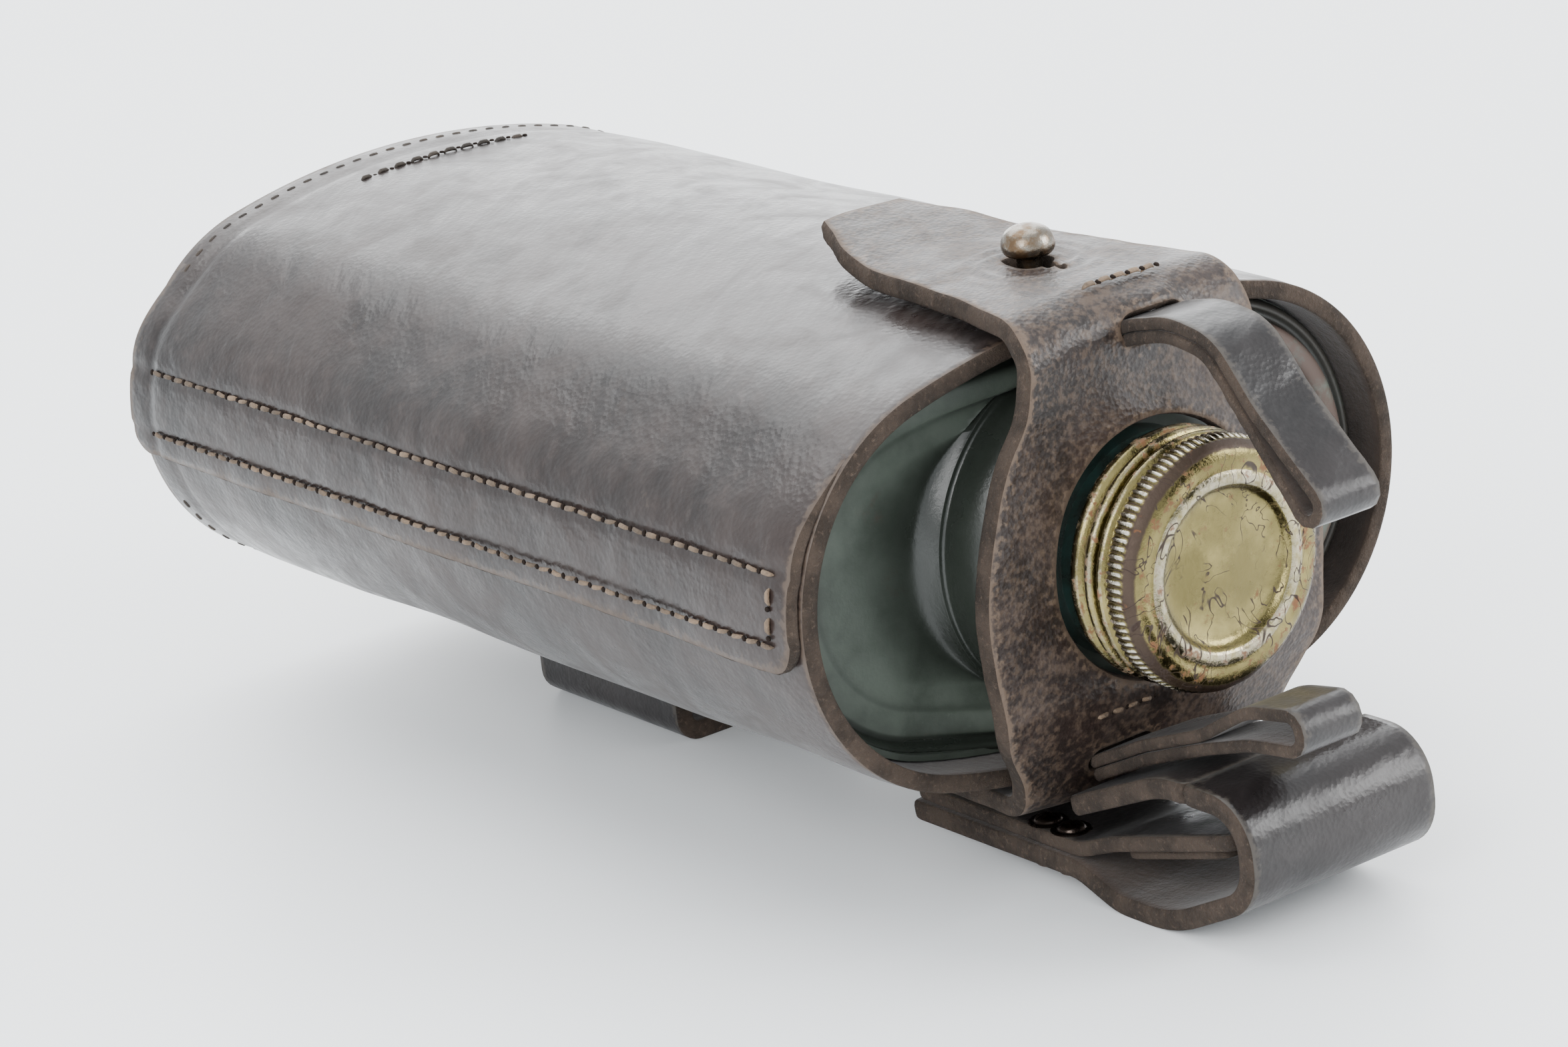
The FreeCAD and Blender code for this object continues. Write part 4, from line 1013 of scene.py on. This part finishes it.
class FLASK_OT_yoke(bpy.types.Operator):
    """Builds the yoke and its buttoned tongue as one leather, and sews the loops behind it"""

    bl_idname = "flask.yoke"
    bl_label = "Yoke and tongue"

    def execute(self, context):
        sizes = sizes_of("flask_straps")
        track = YOKE_TRACK
        # Places along the yoke, and half its width at each.
        widths = [
            ((24, -40.1), 24.0), ((4, -40.1), 24.0), ((-7.6, -33), 26.2), ((-11.3, -24), 31.0),
            ((-11.3, -16), 32.4), ((-11.3, -3), 33.6), ((-11.3, 6), 32.4), ((-11.3, 14), 30.0),
            ((-11.3, 21), 26.6), ((-11.3, 26), 23.4), ((-11.3, 31), 22.0), ((-8, 38), 21.0),
            ((0, 41), 19.6), ((13, 41), 17.2), ((28, 41), 15.6), ((43, 42), 12.9),
            ((50, 43), 9.6), ((54.5, 43.6), 7.6),
        ]
        stations = [(track.find(spot), half) for spot, half in widths]
        neck = track.find((-11.3, 0.0))
        stud = track.find((sizes.stud_y, 41.0))
        front_slit = track.find((-11.0, 34.6))
        rear_slit = track.find((-8.2, -31.6))
        slits = ((front_slit, LOOP_MIDDLES["front_loop"]), (rear_slit, LOOP_MIDDLES["rear_loop"]))
        slit_half, slit_tall = 6.4, 2.3

        def inside(s, w):
            edge = (abs(w) - curve_through(stations, s)) * 0.95
            edge = max(edge, -s, s - track.length)
            edge = max(edge, sizes.yoke_hole - math.hypot(s - neck, w))
            button = 3.5 - math.hypot(max(0.0, abs(s - stud - 0.6) - 1.0), w)
            tear = 0.9 - math.hypot(max(0.0, abs(s - stud + 3.4) - 3.6), w - 0.4)
            edge = max(edge, button, tear)
            for centre, middle in slits:
                beyond = max(0.0, abs(w - middle) - slit_half + slit_tall)
                edge = max(edge, slit_tall - math.hypot(beyond, s - centre))
            return edge

        plain = strap_place(track, 1.0, ripple=0.35, arch=0.0026, seed=0.7)

        def place(s, w, depth):
            """Puckered round the stud, and arched over the front loop's slit."""
            reach = math.hypot(s - stud, w)
            pucker = 0.30 * math.cos(1.9 * reach + 2.0 * math.atan2(w, s - stud))
            pucker *= math.exp(-((reach - 6.0) / 5.0) ** 2) * smooth(reach, 3.0, 5.0)
            lip = 1.2 * math.exp(-((s - front_slit - 2.8) / 2.4) ** 2)
            lip *= math.exp(-((w - LOOP_MIDDLES["front_loop"]) / 6.0) ** 4)
            return plain(s, w, depth - pucker - lip)

        yoke = leather_panel("yoke_leather", track.length, 35.0, 0.85, inside, place,
                             sizes.leather, ["yoke_grain", "flesh", "edge"])
        finish_piece(yoke, "strap_leather", None, "yoke", "yoke_tongue")
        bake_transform(yoke)
        self.sew_loops(track, plain)
        return {"FINISHED"}

    def sew_loops(self, track, place):
        """The short rows that hold the two small loops behind the yoke's bends."""
        pitch = 2.9
        rows = (
            ("front_loop", (-5.6, 41.0), 1.2, 5, 1.05),
            ("rear_loop", (-11.3, -23.2), -9.0, 4, 0.0),
        )
        for loop, spot, middle, count, proud in rows:
            mark = track.find(spot)
            along = track.at(mark)[1]
            outward = (0, -along.y, along.x)
            stitches = []
            for step in range(count):
                w = middle + (step - (count - 1) / 2) * pitch
                where = (place(mark, w, -proud) - MIDDLE) / MM
                stitches.append((where, (1, 0, 0), outward))
            row = sewn_rows(f"{loop}_stitches", stitches)
            finish_piece(row, "stitching", "case", f"{loop}_thread")


class FLASK_OT_loops(bpy.types.Operator):
    """Builds the two narrow straps that are folded double"""

    bl_idname = "flask.loops"
    bl_label = "Small loops"

    def execute(self, context):
        sizes = sizes_of("flask_straps")
        half = sizes.loop_width / 2
        loops = (("front_loop", FRONT_LOOP_TRACK, 1.3), ("rear_loop", REAR_LOOP_TRACK, 5.2))
        for node, track, seed in loops:
            loop = strap(f"{node}_leather", track, half, sizes.loop_leather,
                         ["strap_grain", "flesh", "edge"], cell=0.8, side=1.0,
                         middle=LOOP_MIDDLES[node], lift=sizes.loop_leather, ripple=0.12,
                         seed=seed)
            finish_piece(loop, "strap_leather", node, node)
        return {"FINISHED"}


class FLASK_OT_belt(bpy.types.Operator):
    """Builds the folded belt strap, its flap, the inner strap, the patch and the rivets"""

    bl_idname = "flask.belt"
    bl_label = "Belt straps"

    def execute(self, context):
        sizes = sizes_of("flask_straps")
        half = sizes.belt_width / 2
        grain = ["strap_grain", "flesh", "edge"]
        belt = strap("belt_leather", BELT_TRACK, half, sizes.leather, grain, side=1.0,
                     ripple=0.0)
        finish_piece(belt, "strap_leather", None, "belt_strap_root", "belt_strap")
        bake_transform(belt)

        def button_hole(s, w):
            return 3.0 * (1.0 - math.hypot((s - 11.5) / 4.4, (w + 4.0) / 2.9))

        flap = strap("flap_leather", FLAP_TRACK, half, sizes.leather, grain, side=1.0,
                     ripple=0.0, corner=1.5, hole=button_hole)
        finish_piece(flap, "strap_leather", None, "belt_flap")
        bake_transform(flap)

        lining = strap("lining_leather", LINING_TRACK, half - 0.5, sizes.lining, grain, side=-1.0,
                       ripple=0.0, corner=1.5)
        finish_piece(lining, "lining_leather", None, "inner_strap_root", "inner_strap")
        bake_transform(lining)

        patch = strap("patch_leather", PATCH_TRACK, half - 2, 1.6, ["flesh", "flesh", "edge"],
                      side=-1.0, ripple=0.0, corner=3.0)
        finish_piece(patch, "lining_leather", "hanger", "strap_patch")
        self.make_rivets()
        return {"FINISHED"}

    def make_rivets(self):
        """Domed heads, each in the shallow dish that it has pressed into the leather."""
        side, rows = 14.9, (-2.6, 2.9)
        profile = softened([
            (3.3, 0.05), (2.9, 0.32), (2.4, 0.10), (2.0, 0.75), (1.1, 1.1), (0.02, 1.15),
        ])
        steps = 24
        points, faces = [], []
        for x in (-side, side):
            for y in rows:
                faces += skin_faces(len(profile), steps, len(points))
                for radius, height in profile:
                    points += [at(x + radius * math.cos(turn), y + radius * math.sin(turn),
                                  LINING_TOP + height) for turn in turns(steps)]
        rivets = new_piece("rivet_heads", points, faces, ["rivet"])
        finish_piece(rivets, "rivet_metal", "hanger", "belt_rivets")


class FLASK_OT_keeper(bpy.types.Operator):
    """Builds the keeper on the back and sews its two feet"""

    bl_idname = "flask.keeper"
    bl_label = "Keeper"

    def execute(self, context):
        sizes = sizes_of("flask_straps")
        low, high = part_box("keeper")
        start = (low.y - MIDDLE.y) / MM
        width = (high.y - low.y) / MM
        outer = 15.1 + sizes.leather
        foot, foot_end = (outer, -38.6), (33.0, -33.4)
        track = Track([(-foot_end[0], foot_end[1]), (-foot[0], foot[1]), (-outer, FLOOR),
                       (outer, FLOOR), foot, foot_end], [3.0, 4.6, 4.6, 3.0])

        def place(s, w, depth):
            spot, along = track.at(s)
            return at(spot.x - along.y * depth, start + width / 2 + w, spot.y + along.x * depth)

        outline = box_outline(track.length, width / 2, 1.0)
        band = leather_panel("keeper_leather", track.length, width / 2 + 1.2, 1.2, outline, place,
                             sizes.leather, ["strap_grain", "flesh", "edge"])
        finish_piece(band, "strap_leather", "case", "keeper")
        pitch = sizes_of("flask_sewing").pitch
        inset = 4.5
        stitches = []
        for mark in (inset, track.length - inset):
            spot, along = track.at(mark)
            outward = (along.y, 0, -along.x)
            for step in range(10):
                y = start + 4.2 + step * pitch
                stitches.append(((spot.x, y, spot.y), (0, 1, 0), outward))
        finish_piece(sewn_rows("keeper_stitches", stitches), "stitching", "case", "keeper_thread")
        return {"FINISHED"}


class FLASK_OT_bottle_top(bpy.types.Operator):
    """Builds the bottle's shoulder: rolled bead, sunk plate and the boss round the neck"""

    bl_idname = "flask.bottle_top"
    bl_label = "Bottle top"

    def execute(self, context):
        metal = sizes_of("flask_metal")
        oval = Oval()
        gap = sizes_of("flask_case").leather + 0.5
        plate = 7.0
        # How far inside the case's outline, how far down from the rim, and how much painted shade:
        # most in the gap along the case wall, none on the bead's top.
        profile = softened([
            (gap, 12.0, 1.0), (gap, 6.2, 1.0), (gap + 1.4, 5.4, 0.7), (gap + 2.0, 6.6, 1.0),
            (gap + 3.0, 6.4, 0.8), (gap + 3.4, 3.9, 0.0), (gap + 6.6, 3.9, 0.0),
            (gap + 7.2, 6.2, 0.6), (gap + 8.4, plate, 0.2), (gap + 11.0, plate, 0.25),
        ])
        boss, collar = metal.boss_radius, metal.collar_radius
        steps = 192
        rings, hollow = [], []
        for inset, y, dark in profile:
            rings.append([at(*self.spot(oval, boss, step / steps, inset, y))
                          for step in range(steps)])
            hollow += [dark] * steps
        last = profile[-1][0]
        # The plate's edge as a turn, a reach and a depth at each step.
        edge = []
        for step in range(steps):
            x, y, z = self.spot(oval, boss, step / steps, last, plate)
            edge.append((math.atan2(z, x), math.hypot(x, z), y))
        # The plate runs in to the boss, its painted shade growing towards the boss's foot.
        for share in (0.25, 0.5, 0.75, 1.0):
            ring = []
            for turn, reach, y in edge:
                radius = reach * (1 - share) + (boss + 1.2) * share
                ring.append(at(radius * math.cos(turn), y, radius * math.sin(turn)))
            rings.append(ring)
            hollow += [0.30 + 0.70 * share] * steps
        domed = softened([
            (boss + 1.0, plate), (boss, plate - 0.4), (boss - 0.2, plate - 4.0),
            (boss - 2.2, plate - 8.2), (boss - 5.6, plate - 10.9), (collar + 1.0, plate - 11.6),
            (15.8, plate - 11.7),
        ])
        # Painted shade round the boss's foot, fading out up the dome.
        for radius, y in domed:
            rings.append([at(radius * math.cos(turn), y, radius * math.sin(turn))
                          for turn, _, _ in edge])
            hollow += [smooth(radius, boss - 3.5, boss - 1.0)] * steps
        browned = [smooth((point.x - MIDDLE.x) / MM, 25.0, 40.0) for ring in rings for point in ring]
        top = lofted("bottle_top", rings, ["paint"], {"hollow": hollow, "browned": browned})
        finish_piece(top, "bottle_enamel", "case", "bottle_shoulder")
        return {"FINISHED"}

    @staticmethod
    def spot(oval, boss, share, inset, y):
        """A place on the shoulder, pressed flat on the left and kept clear of the boss."""
        x, z, _ = oval.at(oval.length * share, -inset)
        pressed = smooth(-x, 8.0, 34.0)
        if inset > 6.0:
            y += (7.2 - y) * pressed
        clear = boss + 1.0 + 0.01 * (20.0 - inset)
        push = max(1.0, clear / math.hypot(x, z))
        x, z = x * push, z * push
        return x, y + 0.25 * wander(x, 0.0, z, 19.0, 6.0) + 3.2 * pressed, z


class FLASK_OT_cap(bpy.types.Operator):
    """Builds the drawn cap: rolled skirt, knurled ring and sunk face"""

    bl_idname = "flask.cap"
    bl_label = "Screw cap"

    def execute(self, context):
        metal = sizes_of("flask_metal")
        radius = metal.cap_radius
        foot = (MIDDLE.y - CAP_HIGH.y) / MM
        rim = (MIDDLE.y - CAP_LOW.y) / MM
        skirt = [
            (radius - 2.6, foot + 1.2), (radius - 2.2, foot), (radius - 0.9, foot),
            (radius - 0.3, foot + 0.6), (radius - 0.2, foot + 2.0), (radius - 1.5, foot + 2.9),
            (radius - 1.6, foot + 3.2), (radius - 0.1, foot + 3.8), (radius - 0.1, foot + 5.1),
            (radius - 1.7, foot + 5.6), (radius - 1.7, foot + 5.9), (radius - 0.2, foot + 6.5),
            (radius - 0.2, foot + 7.4), (radius - 1.3, foot + 8.1), (radius - 0.9, foot + 8.4),
        ]
        knurl = [(radius - 0.15, foot + 8.7), (radius, foot + 9.3), (radius, foot + 10.6),
                 (radius - 0.25, foot + 11.4)]
        face = [
            (radius - 0.6, rim - 1.9), (radius - 1.6, rim - 0.8), (radius - 3.2, rim - 0.35),
            (15.2, rim - 0.45), (14.2, rim - 0.1), (13.2, rim - 0.05), (12.5, rim - 0.5),
            (11.9, rim - 1.5), (10.4, rim - 1.9), (7.0, rim - 1.65), (3.0, rim - 1.35),
            (0.3, rim - 1.3),
        ]
        levels = [(r, y, 0.0, "skirt") for r, y in softened(skirt)]
        levels += [(r, y, 1.0, "knurl") for r, y in knurl]
        levels += [(r, y, 0.0, "face") for r, y in softened(face)]
        rings = []
        marks = {"wear": [], "skirt": [], "face": [], "hollow": [], "rim_of_face": []}
        for r, y, toothed, part in levels:
            ring = []
            for turn in turns(metal.teeth * 6):
                wave = 0.5 + 0.5 * math.cos(metal.teeth * turn)
                cut = metal.tooth * toothed * (1 - wave)
                dent = 0.10 * wander(r * math.cos(turn), y, r * math.sin(turn), 5.0, 8.0)
                reach = max(0.1, r - cut + dent * min(1.0, r / 8.0))
                sunk = 0.10 * wander(r * math.cos(turn), 0.0, r * math.sin(turn), 7.0, 2.0)
                ring.append(at(reach * math.cos(turn), -y - sunk * (part == "face"),
                               reach * math.sin(turn)))
                marks["wear"].append(wave * toothed + 0.45 * (part == "skirt") * (r > radius - 0.5)
                                     + 0.5 * (12.6 < r < 15.0) * (part == "face"))
                marks["skirt"].append(1.0 if part != "face" else 0.55 * smooth(r, 12.0, 17.0))
                marks["face"].append(1.0 if part == "face" else 0.0)
                if part == "face":
                    deep = smooth(r, radius - 2.6, radius - 1.4)
                elif part == "knurl":
                    deep = 0.9 * (1 - wave) ** 2
                else:
                    deep = 0.9 * smooth(radius - r, 0.7, 1.5)
                marks["hollow"].append(deep)
                marks["rim_of_face"].append(smooth(r, 11.0, 14.0) * (part == "face"))
            rings.append(ring)
        cap = lofted("cap_metal", rings, ["cap"], marks, closed=True)
        finish_piece(cap, "cap_lacquer", "cap", "cap_shell")
        return {"FINISHED"}


class FLASK_OT_stud(bpy.types.Operator):
    """Builds the domed button stud"""

    bl_idname = "flask.stud"
    bl_label = "Button stud"

    def execute(self, context):
        foot = 36.8
        top = (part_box("button_stud")[1].z - MIDDLE.z) / MM
        stud_y = sizes_of("flask_straps").stud_y
        profile = softened([
            (4.6, foot), (4.5, foot + 0.5), (2.0, foot + 1.4), (1.9, foot + 5.6),
            (3.2, foot + 5.3), (4.1, foot + 6.1), (4.25, foot + 7.4), (3.6, top - 1.9),
            (2.0, top - 0.95), (0.02, top - 0.75),
        ], 3)
        rings = [[at(r * math.cos(turn), stud_y + r * math.sin(turn), z) for turn in turns(40)]
                 for r, z in profile]
        stud = lofted("stud_metal", rings, ["stud"], closed=True)
        finish_piece(stud, "stud_metal", "case", "button_stud")
        return {"FINISHED"}


class FLASK_OT_stage(bpy.types.Operator):
    """Sets the pale floor, the studio lights and the camera"""

    bl_idname = "flask.stage"
    bl_label = "Stage"

    def execute(self, context):
        self.make_floor()
        self.make_lights(context)
        self.make_camera(context)
        return {"FINISHED"}

    def make_floor(self):
        FINISHES["floor"] = floor_finish("studio_floor")
        size = 3.0
        corners = [(-size, -size, 0), (size, -size, 0), (size, size, 0), (-size, size, 0)]
        floor = new_piece("floor", corners, [[0, 1, 2, 3]], ["floor"])

    def make_lights(self, context):
        world = bpy.data.worlds.new("studio")
        world.use_nodes = True
        sky = world.node_tree.nodes["Background"]
        sky.inputs["Color"].default_value = (0.93, 0.97, 1.0, 1.0)
        sky.inputs["Strength"].default_value = 1.75
        context.scene.world = world
        lights = (
            ("overhead", (0.15, 0.55, 1.25), (0.0, 0.0, 0.03), 1.7, 22.0),
            ("backdrop", (1.35, 1.85, 0.85), (0.0, 0.0, 0.05), 2.2, 36.0),
            ("front_left", (-1.10, -0.55, 0.75), (0.0, 0.0, 0.04), 0.9, 13.0),
            ("front_right", (0.95, -0.95, 0.55), (0.0, -0.06, 0.04), 0.8, 17.0),
        )
        for name, place, aim, size, power in lights:
            data = bpy.data.lights.new(name, "AREA")
            data.shape = "DISK"
            data.size = size
            data.energy = power
            lamp = bpy.data.objects.new(name, data)
            lamp.location = place
            lamp.rotation_euler = (Vector(aim) - Vector(place)).to_track_quat("-Z", "Y").to_euler()
            context.scene.collection.objects.link(lamp)

    def make_camera(self, context):
        """Stands the camera off the mouth's left, looking down along the case."""
        azimuth, height, roll = math.radians(-35.4), math.radians(18.1), math.radians(-6.27)
        distance = 736.9 * MM
        aim = at(-38.0, 31.6, 6.1)
        away = Vector((math.sin(azimuth) * math.cos(height),
                       -math.cos(azimuth) * math.cos(height), math.sin(height)))
        data = bpy.data.cameras.new("camera")
        data.sensor_width = 36.0
        data.lens = 110.8
        camera = bpy.data.objects.new("camera", data)
        camera.location = aim + away * distance
        view = (-away).to_track_quat("-Z", "Y").to_matrix()
        turned = view @ Euler((0, 0, roll)).to_matrix()
        camera.rotation_euler = turned.to_euler()
        context.scene.collection.objects.link(camera)
        context.scene.camera = camera


# ---------------------------------------------------------------- panel and registration

STEPS = (
    FLASK_OT_finishes, FLASK_OT_case, FLASK_OT_sewing, FLASK_OT_yoke, FLASK_OT_loops,
    FLASK_OT_belt, FLASK_OT_keeper, FLASK_OT_bottle_top, FLASK_OT_cap, FLASK_OT_stud,
    FLASK_OT_stage,
)

SETTINGS = {
    "flask_case": FlaskCaseSettings,
    "flask_straps": FlaskStrapSettings,
    "flask_sewing": FlaskSewingSettings,
    "flask_metal": FlaskMetalSettings,
    "flask_colours": FlaskColourSettings,
}


class FLASK_PT_panel(bpy.types.Panel):
    """Lists the steps and the settings of the flask"""

    bl_idname = "FLASK_PT_panel"
    bl_label = "Flask"
    bl_space_type = "VIEW_3D"
    bl_region_type = "UI"
    bl_category = "Flask"

    def draw(self, context):
        for step in STEPS:
            self.layout.operator(step.bl_idname)
        for name, group in SETTINGS.items():
            box = self.layout.box()
            for label in group.__annotations__:
                box.prop(getattr(context.scene, name), label)


def register():
    for group in SETTINGS.values():
        bpy.utils.register_class(group)
    for step in STEPS:
        bpy.utils.register_class(step)
    bpy.utils.register_class(FLASK_PT_panel)
    for name, group in SETTINGS.items():
        setattr(bpy.types.Scene, name, PointerProperty(type=group))


def unregister():
    for name in SETTINGS:
        delattr(bpy.types.Scene, name)
    bpy.utils.unregister_class(FLASK_PT_panel)
    for step in reversed(STEPS):
        bpy.utils.unregister_class(step)
    for group in reversed(SETTINGS.values()):
        bpy.utils.unregister_class(group)


def main():
    register()
    for step in STEPS:
        family, name = step.bl_idname.split(".")
        getattr(getattr(bpy.ops, family), name)()


if __name__ == "__main__":
    main()
